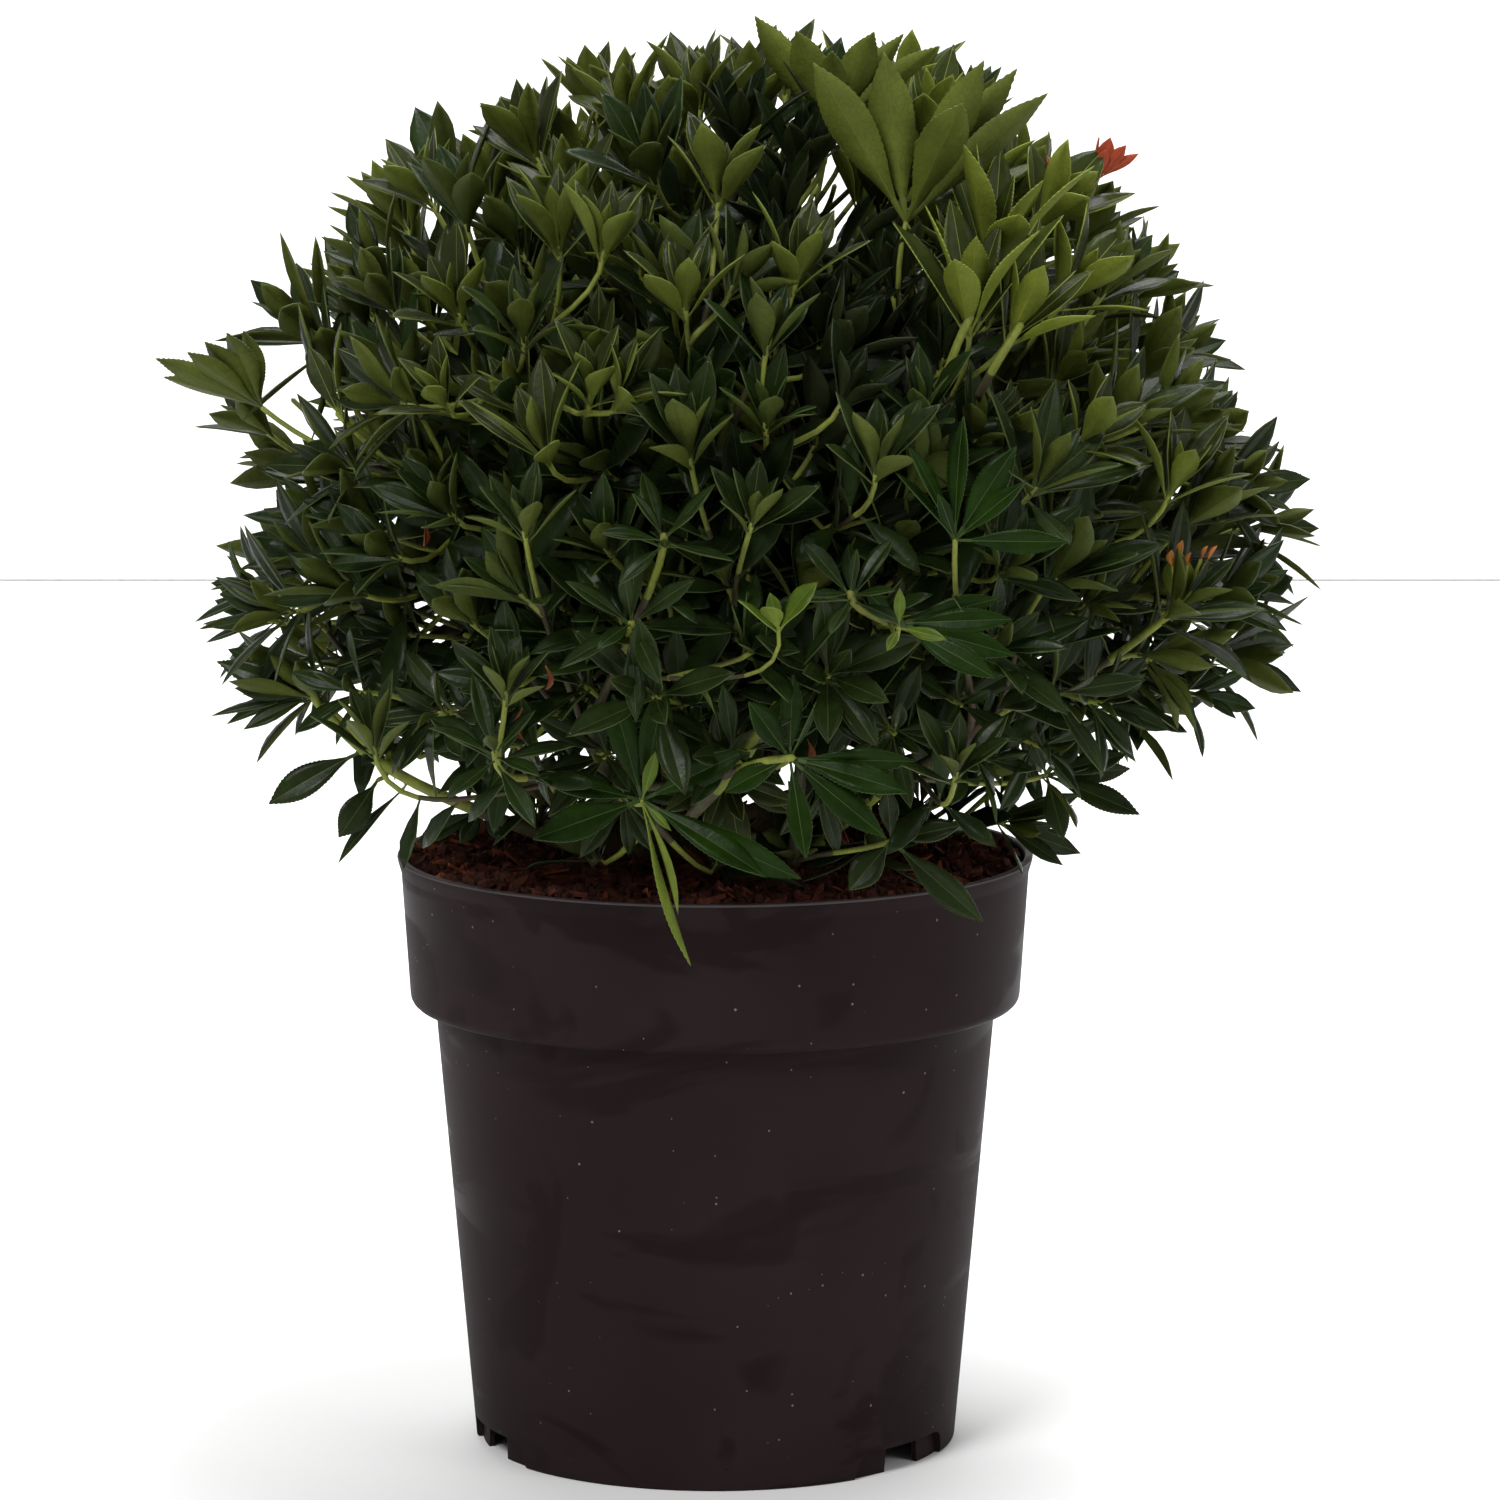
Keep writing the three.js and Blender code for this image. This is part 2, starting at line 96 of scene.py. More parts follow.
# Driving dimensions of the crown, the source's own
CROWN_CENTRE = np.array([12.0, 0.0, 320.0])
CROWN_REACH = 203
UNDERSIDE_DROP = 44
REACH_VARIATION = 4
NOTCH = 12
LOWEST_SINE = -0.5
SHOOT_DEPTH = 70
BOUGH_TAPER = 0.62
LEAF_LEAN = 0.94
SHOOT_SPREAD = 0.4

# The finer growth that the source leaves to this script
SPACINGS = (42, 33, 27, 24)
THROWS = 3000
INNER_DEPTHS = (66, 145)
INNER_SPACING = 22.5
INNER_OPENING = 80
FARTHEST_FORWARD = 190
LEAF_LENGTH = 36
LEAF_THICKNESS = 0.42
LEAF_BASE = 2.0
LEAF_END = 1.3
STALK_SHARE = 0.1
TOOTH = 0.32
TOOTHED_WIDTH = 7
TOOTHED_LENGTH = 45
FINE_DEPTH = 75
LEAF_SPACING = 0.75
OLDER_SPACING = 8
FIRST_LEAF_SHARE = 0.12
MARGIN_WIDTH = 0.12
RIB_HALF_WIDTH = 0.18
KEEL = 0.12
LEAF_FLOOR = 223
TWIG_TIP_RADIUS = 0.95
THICKEST_TWIG = 3.0
STEM_TIP_RADIUS = 1.9
YOUNG_WOOD = 34
FORKS = np.arange(0.3, 0.95, 0.1)
LEAF_ROUGHNESS = 0.31
LEAF_GLOSS = 0.11
MOST_PIECE_FACES = 170_000
# How many degrees a withered leaf, a bud's scale and the leaf before the buds bend, fold and twist
WITHERED_CURL = np.degrees([1.1, 0.7, 0.8])
BUD_CURL = np.degrees([0.15, 0.5, 0])
GUARD_CURL = np.degrees([0.1, 0.35, 0])
# Where the buds' whorl is, across and up, and the length and width of the leaf before them
BUD_PLACE = (159, 315)
GUARD_LEAF = (21, 11)

# The camera of the photo
EYE = np.array([12.6, -2381.0, 601.0])
LENS = 160
SENSOR_WIDTH = 36
LOOKING_DOWN = math.radians(8.334)


# Numbers and vectors


def seeded(index, stream):
    """Numbers between 0 and 1 that look random and never change."""
    value = np.sin(index * 12.9898 + stream * 78.233) * 43758.5453
    return value - np.floor(value)


def evenly(index, stream):
    """Numbers between 0 and 1 that fill a space evenly, one stream for each of its directions."""
    step = (0.8191725134, 0.6710436067, 0.5497004779)[stream]
    return (0.5 + index * step) % 1.0


def vector(x, y, z):
    return np.array([x, y, z], float)


def unit(v):
    return v / np.maximum(np.linalg.norm(v, axis=-1, keepdims=True), 1e-9)


def lerp(a, b, share):
    return a + (b - a) * share


def smoothstep(value, low, high):
    share = np.clip((value - low) / (high - low), 0, 1)
    return share * share * (3 - 2 * share)


def rotated(v, axis, angle):
    """A vector turned about an axis at right angles to it."""
    return v * math.cos(angle) + np.cross(axis, v) * math.sin(angle)


def turned(a, b, angle):
    """Two coordinates turned together about the third one's axis."""
    cos, sin = np.cos(angle), np.sin(angle)
    return a * cos - b * sin, a * sin + b * cos


class Curve:
    """A Bezier curve measured along its length, from 0 at its foot to 1 at its tip."""

    def __init__(self, *handles):
        handles = np.array(handles, float)
        t = np.linspace(0, 1, 33)[:, None, None]
        points = np.repeat(handles[None], len(t), 0)
        while points.shape[1] > 2:
            points = lerp(points[:, :-1], points[:, 1:], t)
        self.headings = unit(points[:, 1] - points[:, 0])
        self.points = lerp(points[:, 0], points[:, 1], t[:, 0])
        steps = np.linalg.norm(np.diff(self.points, axis=0), axis=1)
        self.length = steps.sum()
        self.shares = np.concatenate([[0], np.cumsum(steps)]) / self.length

    def _read(self, rows, share):
        return np.stack([np.interp(share, self.shares, rows[:, k]) for k in range(3)], -1)

    def place(self, share):
        return self._read(self.points, share)

    def heading(self, share):
        return unit(self._read(self.headings, share))


# Meshes


def make_piece(name, points, faces, materials, slots=None, smooth=True, replaces=(), slot="foliage"):
    """A piece from points in millimetres. faces is a list of index arrays, with one number of
    corners in each, and slots gives every face its material."""
    mesh = bpy.data.meshes.new(name)
    faces = [np.asarray(part, np.int32) for part in faces if len(part)]
    counts = np.concatenate([np.full(len(part), part.shape[1], np.int32) for part in faces])
    starts = np.concatenate([[0], np.cumsum(counts)[:-1]]).astype(np.int32)
    corners = np.concatenate([part.ravel() for part in faces])
    mesh.vertices.add(len(points))
    mesh.vertices.foreach_set("co", (np.asarray(points, np.float32) * MM).ravel())
    mesh.loops.add(len(corners))
    mesh.loops.foreach_set("vertex_index", corners)
    mesh.polygons.add(len(counts))
    mesh.polygons.foreach_set("loop_start", starts)
    for material in materials:
        mesh.materials.append(material)
    if slots is not None:
        mesh.polygons.foreach_set("material_index", np.asarray(slots, np.int32))
    flags = np.full(len(counts), smooth) if isinstance(smooth, bool) else np.asarray(smooth, bool)
    mesh.polygons.foreach_set("use_smooth", flags)
    mesh.update(calc_edges=True)
    mesh.validate()
    piece = bpy.data.objects.new(name, mesh)
    bpy.context.scene.collection.objects.link(piece)
    if slot:
        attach(piece, "root")
    if replaces:
        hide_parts(*replaces)
    return piece


def circle(sides):
    """The angles of a ring of points."""
    return np.arange(sides) * 2 * math.pi / sides


def level_ring(angles, radius, z, x=0):
    """A ring of points round a vertical axis."""
    z = np.broadcast_to(z, angles.shape)
    return np.stack([x + radius * np.cos(angles), radius * np.sin(angles), z], 1)


def ring_faces(sides, bands):
    """The faces of a closed stack of rings: four-cornered ones in bands between the rings, then
    a fan at each end, whose middles are the two points after the last ring."""
    i = np.arange(sides)
    j = (i + 1) % sides
    band = np.stack([i, j, j + sides, i + sides], 1)
    last = bands * sides
    foot = np.stack([j, i, np.full(sides, last + sides)], 1)
    top = np.stack([i + last, j + last, np.full(sides, last + sides + 1)], 1)
    return np.concatenate([band + row * sides for row in range(bands)]), np.concatenate([foot, top])


def tube(curve, radii, sides, steps, relief=None):
    """A closed tube round a curve, with points, four-cornered faces and three-cornered ends."""
    shares = np.linspace(0, 1, steps + 1)
    centres = curve.place(shares)
    headings = curve.heading(shares)
    radius = np.interp(shares, np.linspace(0, 1, len(radii)), radii)
    normal = unit(np.cross(headings[0], vector(0.31, 0.87, 0.39)))
    angles = circle(sides)
    rows = []
    for centre, heading, r in zip(centres, headings, radius):
        normal = unit(normal - heading * normal.dot(heading))
        other = np.cross(heading, normal)
        around = np.outer(np.cos(angles), normal) + np.outer(np.sin(angles), other)
        reach = r if relief is None else r * relief(angles, centre)[:, None]
        rows.append(centre + around * reach)
    points = np.concatenate(rows + [centres[:1], centres[-1:] + headings[-1:] * radius[-1]])
    return points, *ring_faces(sides, steps)


class Joined:
    """Points, four-cornered and three-cornered faces of many small shapes, gathered for one piece."""

    def __init__(self):
        self.points, self.quads, self.triangles = [], [], []
        self.quad_slots, self.triangle_slots = [], []
        self.count = 0

    def add(self, points, quads, triangles, quad_slots=0, triangle_slots=0):
        self.points.append(points)
        self.quads.append(np.asarray(quads) + self.count)
        self.triangles.append(np.asarray(triangles) + self.count)
        self.quad_slots.append(np.broadcast_to(quad_slots, len(quads)))
        self.triangle_slots.append(np.broadcast_to(triangle_slots, len(triangles)))
        self.count += len(points)

    def piece(self, name, materials, **options):
        faces = [np.concatenate(self.quads), np.concatenate(self.triangles)]
        slots = np.concatenate(self.quad_slots + self.triangle_slots)
        make_piece(name, np.concatenate(self.points), faces, materials, slots, **options)


# Materials


class Look:
    """A procedural material: its nodes, and short ways to add and join them."""

    def __init__(self, name, roughness, specular=0.5):
        self.material = bpy.data.materials.new(name)
        self.material.use_nodes = True
        self.tree = self.material.node_tree
        self.shader = self.tree.nodes["Principled BSDF"]
        self.shader.inputs["Roughness"].default_value = roughness
        self.shader.inputs["Specular IOR Level"].default_value = specular

    def node(self, kind, values=None, **settings):
        node = self.tree.nodes.new("ShaderNode" + kind)
        for key, value in settings.items():
            setattr(node, key, value)
        for key, value in (values or {}).items():
            self.feed(node.inputs[key], value)
        return node

    def feed(self, socket, value):
        """Links a socket to another, or gives it a value."""
        if isinstance(value, bpy.types.NodeSocket):
            self.tree.links.new(value, socket)
        else:
            socket.default_value = value

    def coordinates(self, scale=(1, 1, 1)):
        place = self.node("TexCoord").outputs["Object"]
        return self.node("Mapping", {"Vector": place, "Scale": scale}).outputs["Vector"]

    def noise(self, scale, detail=2.0, stretch=(1, 1, 1), roughness=0.5, distortion=0.0):
        values = {
            "Vector": self.coordinates(stretch),
            "Scale": scale,
            "Detail": detail,
            "Roughness": roughness,
            "Distortion": distortion,
        }
        return self.node("TexNoise", values).outputs["Fac"]

    def ramp(self, value, *stops):
        """A colour ramp. Each stop is a place and a colour or a grey."""
        node = self.node("ValToRGB", {"Fac": value})
        elements = node.color_ramp.elements
        while len(elements) < len(stops):
            elements.new(1.0)
        for element, (place, colour) in zip(elements, stops):
            element.position = place
            element.color = (*colour, 1) if isinstance(colour, tuple) else (colour,) * 3 + (1,)
        return node.outputs["Color"]

    def mix(self, share, a, b, kind="MIX"):
        node = self.tree.nodes.new("ShaderNodeMix")
        node.data_type = "RGBA"
        node.blend_type = kind
        sockets = {s.identifier: s for s in node.inputs}
        for key, value in (("Factor_Float", share), ("A_Color", a), ("B_Color", b)):
            self.feed(sockets[key], (*value, 1) if isinstance(value, tuple) else value)
        return next(s for s in node.outputs if s.identifier == "Result_Color")

    def math(self, operation, a, b=0.0):
        return self.node("Math", {0: a, 1: b}, operation=operation).outputs[0]

    def drift(self, colour, dark, light):
        """A colour that drifts slowly from place to place between a darker and a lighter one."""
        stops = ((0.3, shaded(colour, dark)), (0.5, colour), (0.72, shaded(colour, light)))
        return self.ramp(self.noise(55.0), *stops)

    def paint(self, colour, shade=None):
        """Sets the base colour, darkened by a shade where one is given."""
        if shade is not None:
            colour = self.mix(1.0, colour, shade, "MULTIPLY")
        self.feed(self.shader.inputs["Base Color"], colour)

    def bump(self, height, strength, distance):
        values = {"Height": height, "Strength": strength, "Distance": distance}
        self.feed(self.shader.inputs["Normal"], self.node("Bump", values).outputs["Normal"])


def shaded(colour, factor):
    return tuple(min(1.0, c * factor) for c in colour)


def leaf_look(name, colour, specular):
    """A leaf's surface: small drifts of colour from leaf to leaf, and veins as fine relief."""
    look = Look(name, LEAF_ROUGHNESS, specular)
    mottle = look.ramp(look.noise(420.0, 3.0), (0.35, 0.82), (0.65, 1.0))
    look.paint(look.drift(colour, 0.72, 1.35), mottle)
    gloss = look.ramp(look.noise(260.0), (0.3, LEAF_ROUGHNESS * 0.8), (0.7, LEAF_ROUGHNESS * 1.25))
    look.feed(look.shader.inputs["Roughness"], gloss)
    look.bump(look.noise(650.0, 3.0), 0.25, 0.0004)
    return look.material


def leaf_under_look(name, colour):
    """A leaf's dull underside: a net of fine veins, a little darker, pressed into it."""
    look = Look(name, 0.6, 0.16)
    values = {"Vector": look.coordinates(), "Scale": 380.0}
    cells = look.node("TexVoronoi", values, feature="DISTANCE_TO_EDGE").outputs["Distance"]
    net = look.ramp(cells, (0.0, 0.0), (0.09, 1.0))
    look.paint(look.drift(colour, 0.78, 1.28), look.ramp(net, (0.0, 0.84), (1.0, 1.0)))
    look.bump(net, 0.25, 0.0003)
    return look.material


def edge_look(name, colour):
    """The thin pale margin, midrib and stalk of a leaf."""
    look = Look(name, 0.5, 0.2)
    look.paint(look.ramp(look.noise(90.0), (0.3, shaded(colour, 0.8)), (0.7, colour)))
    return look.material


def twig_look(name, plain, blotched):
    """The bark of a twig: fine lengthwise ridges, and blotches in a second colour."""
    look = Look(name, 0.62, 0.35)
    grain = look.noise(900.0, 3.0, stretch=(1, 1, 0.25))
    blotch = look.noise(70.0, 3.0, roughness=0.6)
    body = look.mix(look.ramp(blotch, (0.42, 0.0), (0.62, 1.0)), plain, blotched)
    look.paint(body, look.ramp(grain, (0.3, 0.7), (0.7, 1.0)))
    look.bump(grain, 0.35, 0.0005)
    return look.material


def bark_look():
    """Old bark on the boughs and the stool: ridged, cracked and blotched with green."""
    look = Look("bark_old", 0.85, 0.25)
    ridges = look.noise(700.0, 4.0, stretch=(1, 1, 0.18), roughness=0.65)
    blotch = look.noise(45.0, 4.0, roughness=0.6)
    brown, tan, green = (0.075, 0.048, 0.024), (0.15, 0.115, 0.05), (0.13, 0.15, 0.05)
    body = look.ramp(blotch, (0.35, brown), (0.6, tan), (0.75, green))
    look.paint(body, look.ramp(ridges, (0.3, 0.45), (0.65, 1.0)))
    look.bump(ridges, 0.6, 0.0012)
    return look.material


def pot_look():
    """Dark moulded plastic under a grey film of dust, wiped away in streaks and smudges."""
    look = Look("pot_plastic", 0.52, 0.03)
    cloud = look.noise(9.0, 3.0)
    film = look.ramp(cloud, (0.35, (0.0152, 0.0092, 0.0098)), (0.65, (0.02, 0.0128, 0.0137)))
    wiped = (0.0102, 0.0056, 0.0056)
    sweep = look.noise(6.5, 4.0, stretch=(1, 1, 3.4), roughness=0.55, distortion=1.1)
    smudge = look.noise(21.0, 3.0, stretch=(1, 1, 0.7), distortion=0.5)
    swept = look.ramp(sweep, (0.53, 0.0), (0.58, 0.7))
    smudged = look.ramp(smudge, (0.62, 0.0), (0.65, 0.55))
    body = look.mix(look.math("MAXIMUM", swept, smudged), film, wiped)
    dusty = look.mix(look.math("MULTIPLY", dust_specks(look), 0.7), body, (0.2, 0.17, 0.15))
    height = look.node("SeparateXYZ", {"Vector": look.coordinates()}).outputs["Z"]
    # A painted highlight: a paler band along the top edge of the rim
    rim_highlight_band = look.math("GREATER_THAN", height, (POT_HEIGHT - 0.9) * MM)
    look.paint(look.mix(look.math("MULTIPLY", rim_highlight_band, 0.75), dusty, (0.085, 0.072, 0.075)))
    look.feed(look.shader.inputs["Roughness"], look.ramp(sweep, (0.53, 0.56), (0.58, 0.44)))
    scratch = look.noise(240.0, 3.0, stretch=(1, 1, 14), roughness=0.8)
    look.bump(scratch, 0.03, 0.0005)
    return look.material


def dust_specks(look):
    """1 on small scattered specks, more of them where a slow pattern is high."""
    cells = look.node("TexVoronoi", {"Vector": look.coordinates(), "Scale": 270.0})
    pick, size = look.node("SeparateColor", {"Color": cells.outputs["Color"]}).outputs[:2]
    near = look.math("LESS_THAN", cells.outputs["Distance"], look.math("MULTIPLY", size, 0.13))
    patch = look.ramp(look.noise(13.0), (0.42, 0.05), (0.68, 0.6))
    return look.math("MULTIPLY", near, look.math("LESS_THAN", pick, patch))


def soil_look(name, dark, light):
    look = Look(name, 0.95, 0.2)
    grain = look.noise(260.0, 4.0, roughness=0.7)
    look.paint(look.ramp(grain, (0.3, dark), (0.7, light)))
    look.bump(look.noise(700.0, 4.0, roughness=0.7), 0.7, 0.0012)
    return look.material


def floor_look():
    look = Look("studio_floor", 0.75, 0.2)
    look.paint(look.ramp(look.noise(1.5), (0.3, 0.86), (0.7, 0.88)))
    return look.material


# The pot: a smooth turned shell with rounded edges, and drainage recesses cut in its skirt


COLLAR_FOOT_Z = POT_HEIGHT - COLLAR_HEIGHT
LIP_FOOT_Z = POT_HEIGHT - LIP_HEIGHT


def rounded(profile, radii, steps=5):
    """A closed outline with its corners rounded, each by its own radius."""
    points = []
    corners = [np.array(p, float) for p in profile]
    for i, corner in enumerate(corners):
        before, after = corners[i - 1], corners[(i + 1) % len(corners)]
        radius = radii[i]
        if radius == 0:
            points.append(corner)
            continue
        back, on = unit(before - corner), unit(after - corner)
        for share in np.linspace(0, 1, steps + 1):
            a, b = corner + back * radius * (1 - share), corner + on * radius * share
            points.append(lerp(a, b, share))
    return points


def pot_outline():
    """The pot's section as corners with rounding radii: outside up, then down the inside."""
    corners = [
        ((0, 0), 0),
        ((BASE_DISC_RADIUS, 0), 1),
        ((BASE_DISC_RADIUS + CHANNEL_SLANT, CHANNEL_HEIGHT), 1),
        ((BODY_FOOT_RADIUS - SKIRT, CHANNEL_HEIGHT), 1),
        ((BODY_FOOT_RADIUS - SKIRT, 0), 0.4),
        ((BODY_FOOT_RADIUS, 0), 1.2),
        ((BODY_TOP_RADIUS, COLLAR_FOOT_Z), 0.8),
        ((COLLAR_FOOT_RADIUS - 0.2, COLLAR_FOOT_Z), 3.6),
        ((COLLAR_TOP_RADIUS, LIP_FOOT_Z), 0.5),
        ((RIM_RADIUS - 0.5, LIP_FOOT_Z + 3.6), 0.6),
        ((RIM_RADIUS, POT_HEIGHT), 0.8),
        ((RIM_RADIUS - COLLAR_WALL, POT_HEIGHT), 0.8),
        ((COLLAR_TOP_RADIUS - WALL, LIP_FOOT_Z), 0.5),
        ((COLLAR_FOOT_RADIUS - COLLAR_WALL, COLLAR_FOOT_Z + WALL), 1),
        ((BODY_TOP_RADIUS - WALL, COLLAR_FOOT_Z + WALL), 1),
        ((BODY_FOOT_RADIUS - WALL, CHANNEL_HEIGHT + WALL), 1),
        ((BASE_DISC_RADIUS - WALL + CHANNEL_SLANT, CHANNEL_HEIGHT + WALL), 1),
        ((BASE_DISC_RADIUS - WALL, WALL), 1),
        ((0, WALL), 0),
    ]
    return rounded([c for c, _ in corners], [r for _, r in corners])


def turned_mesh(outline, sides):
    """An outline from axis to axis, turned round the vertical axis into a closed mesh."""
    rings = [level_ring(circle(sides), radius, z) for radius, z in outline[1:-1]]
    ends = [[[0, 0, outline[0][1]]], [[0, 0, outline[-1][1]]]]
    return np.concatenate(rings + ends), *ring_faces(sides, len(rings) - 1)


def recess_cutter(middle, half_angle, depth, arch):
    """A closed prism in the skirt: as wide as its half angle, with its upper corners arched."""
    steps, foot_z, overreach = 24, -2.0, 6
    angles = np.linspace(-half_angle, half_angle, steps + 1)
    edge = np.clip((np.abs(angles) / half_angle - (1 - arch)) / arch, 0, 1)
    tops = 1 + (RECESS_HEIGHT - 1) * np.sqrt(np.maximum(0, 1 - edge**2))
    points = []
    for radius in (BODY_FOOT_RADIUS - depth, BODY_FOOT_RADIUS + overreach):
        x, y = radius * np.cos(angles + middle), radius * np.sin(angles + middle)
        points += [np.stack([x, y, np.full(steps + 1, foot_z)], 1), np.stack([x, y, tops], 1)]
    points = np.concatenate(points)
    n = steps + 1
    i = np.arange(steps)
    inner_low, inner_top, outer_low, outer_top = (i + k * n for k in range(4))
    quads = [
        np.stack([inner_low, inner_top, inner_top + 1, inner_low + 1], 1),
        np.stack([outer_low, outer_low + 1, outer_top + 1, outer_top], 1),
        np.stack([inner_top, outer_top, outer_top + 1, inner_top + 1], 1),
        np.stack([inner_low, inner_low + 1, outer_low + 1, outer_low], 1),
        np.array([[0, 2 * n, 3 * n, n]]),
        np.array([[steps, n + steps, 3 * n + steps, 2 * n + steps]]),
    ]
    return points, np.concatenate(quads)


def cut(piece, cutter):
    """Takes the cutter's shape out of the piece's mesh, for good, and removes the cutter."""
    modifier = piece.modifiers.new("cut", "BOOLEAN")
    modifier.operation = "DIFFERENCE"
    modifier.solver = "MANIFOLD"
    modifier.object = cutter
    bpy.context.view_layer.update()
    evaluated = piece.evaluated_get(bpy.context.evaluated_depsgraph_get())
    made = bpy.data.meshes.new_from_object(evaluated)
    piece.modifiers.clear()
    piece.data = made
    bpy.data.objects.remove(cutter)


def make_pot():
    points, quads, triangles = turned_mesh(pot_outline(), 240)
    look = pot_look()
    pot = make_piece("pot_shell", points, [quads, triangles], [look], replaces=["pot"], slot="pot_plastic")
    for recess in range(RECESSES):
        middle = FIRST_RECESS + recess * 2 * math.pi / RECESSES
        for half_angle, depth, arch in (
            (RECESS_HALF_ANGLE, RECESS_DEPTH, 0.3),
            (DRAIN_HALF_ANGLE, SKIRT + 1, 0.12),
        ):
            shape, sides = recess_cutter(middle, half_angle, depth, arch)
            cut(pot, make_piece("cutter", shape, [sides], [look], smooth=False, slot=None))
    pot.data.shade_smooth()
    pot.data.set_sharp_from_angle(angle=math.radians(32))


# The soil: an uneven bed, with bark chips, slivers and fibres on it


def soil_height(x, y):
    """The height of the soil's surface at a place: level, a little lower at the edge, lumpy."""
    radius = np.hypot(x, y)
    level = lerp(SOIL_CROWN_Z, SOIL_EDGE_Z, smoothstep(radius, 86, 110))
    lumps = np.sin(x * 0.11 + 1.3) * np.cos(y * 0.13 - 0.4) + 0.6 * np.sin(x * 0.31 - y * 0.27)
    lumps += 0.45 * np.sin(x * 0.71 + y * 0.52 + 2.0) * np.cos(y * 0.83 - x * 0.4)
    return level + 1.5 * lumps


def make_soil_bed(look):
    sides, rings = 180, 70
    wall_radius = COLLAR_TOP_RADIUS - WALL - 0.5
    rows = [level_ring(circle(sides), wall_radius - 1, SOIL_BED_FOOT_Z)]
    for ring in range(rings, 0, -1):
        row = level_ring(circle(sides), wall_radius * ring / rings, 0.0)
        grit = SOIL_GRIT * (seeded(np.arange(sides) + ring * sides, 3) - 0.5) * min(1, ring / 8)
        row[:, 2] = soil_height(row[:, 0], row[:, 1]) + grit
        rows.append(row)
    rows.append([[0, 0, SOIL_BED_FOOT_Z], [0, 0, soil_height(0, 0)]])
    faces = ring_faces(sides, rings)
    make_piece("soil_bed", np.concatenate(rows), faces, [look], replaces=["potting_soil"], slot="substrate")


def chip_shape():
    """A splinter of unit size: a bent bar with pointed, uneven ends."""
    points = []
    for x, wide, lift in ((-0.5, 0.25, 0.1), (-0.15, 1, -0.05), (0.2, 0.8, 0), (0.5, 0.15, 0.15)):
        y = wide / 2
        points += [(x, -y, lift), (x, y, lift), (x, y, lift + 1), (x, -y, lift + 1)]
    quads = []
    for a in (0, 4, 8):
        quads += [(a + 4 + k, a + 4 + (k + 1) % 4, a + (k + 1) % 4, a + k) for k in range(4)]
    quads += [(0, 1, 2, 3), (15, 14, 13, 12)]
    return np.array(points, float), np.array(quads)


def make_chips(name, count, stream, sizes, look):
    """Chips strewn over the soil, each lying at its own angle and a little sunk in. sizes has the
    least and the most of their length, width and thickness."""
    shape, quads = chip_shape()
    index = np.arange(count) + stream * 10_000
    radius = (CHIP_REACH - 1) * np.sqrt(seeded(index, 11))
    angle = 2 * math.pi * seeded(index, 12)
    x, y = radius * np.cos(angle), radius * np.sin(angle)
    lengths, widths, heights = sizes
    length = lerp(*lengths, seeded(index, 13) ** 2)
    width = lerp(*widths, seeded(index, 14))
    thick = lerp(*heights, seeded(index, 15))
    length = np.minimum(length, np.maximum(2.0, 2 * (CHIP_REACH - radius)))
    turn = 2 * math.pi * seeded(index, 16)[:, None]
    tilt = 1.3 * (seeded(index, 17) - 0.5)[:, None]
    roll = 1.6 * (seeded(index, 19) - 0.5)[:, None]
    lift = soil_height(x, y) - 0.5 + 1.3 * seeded(index, 18)
    ahead, side, rise = (shape[None, :, k] * size[:, None] for k, size in enumerate((length, width, thick)))
    side, rise = turned(side, rise, roll)
    ahead, rise = ahead * np.cos(tilt), rise + ahead * np.sin(tilt)
    ahead, side = turned(ahead, side, turn)
    points = np.stack([x[:, None] + ahead, y[:, None] + side, lift[:, None] + rise], -1)
    faces = (quads[None] + (np.arange(count) * len(shape))[:, None, None]).reshape(-1, 4)
    make_piece(name, points.reshape(-1, 3), [faces], [look], smooth=False, slot="substrate")


def make_fibres(look):
    """Thin root and bark fibres that lie in loose curves on the soil."""
    joined = Joined()
    for index in range(FIBRES):
        a, b, c, d, e, f = (float(seeded(index, 20 + k)) for k in range(6))
        radius, angle, turn = (FIBRE_REACH - 8) * math.sqrt(a), 2 * math.pi * b, 2 * math.pi * c
        length, bend = 12 + 26 * d, 14 * (e - 0.5)
        way = vector(math.cos(turn), math.sin(turn), 0)
        side = vector(-way[1], way[0], 0)
        middle = vector(radius * math.cos(angle), radius * math.sin(angle), 0)
        half = way * length / 2
        handles = [middle - half, middle + side * bend, middle + half + side * bend / 2]
        reach = max(np.hypot(h[0], h[1]) for h in handles)
        for handle, rise in zip(handles, (0.2, 2.0 + 3.5 * f, 0.4)):
            handle[:2] *= min(1, FIBRE_REACH / reach)
            handle[2] = soil_height(handle[0], handle[1]) + rise
        joined.add(*tube(Curve(*handles), [0.25, 0.5, 0.22], 5, 8))
    joined.piece("soil_fibres", [look], slot="substrate")


def make_soil():
    make_soil_bed(soil_look("soil_dark", (0.027, 0.0115, 0.008), (0.08, 0.03, 0.021)))
    brown = soil_look("bark_brown", (0.036, 0.0135, 0.0098), (0.105, 0.036, 0.025))
    russet = soil_look("bark_russet", (0.066, 0.0185, 0.011), (0.2, 0.058, 0.032))
    orange = soil_look("bark_orange", (0.16, 0.036, 0.014), (0.36, 0.1, 0.04))
    make_chips("soil_crumbs", 4200, 1, ((1.5, 7), (1.5, 5), (1.2, 3.4)), brown)
    make_chips("bark_chips", 900, 2, ((4, 18), (2.5, 7), (0.8, 2.2)), russet)
    make_chips("bark_slivers", 170, 3, ((9, 30), (2.2, 5.5), (0.6, 1.4)), orange)
    make_fibres(russet)


# The limbs: the stool and the boughs, with the relief of their bark


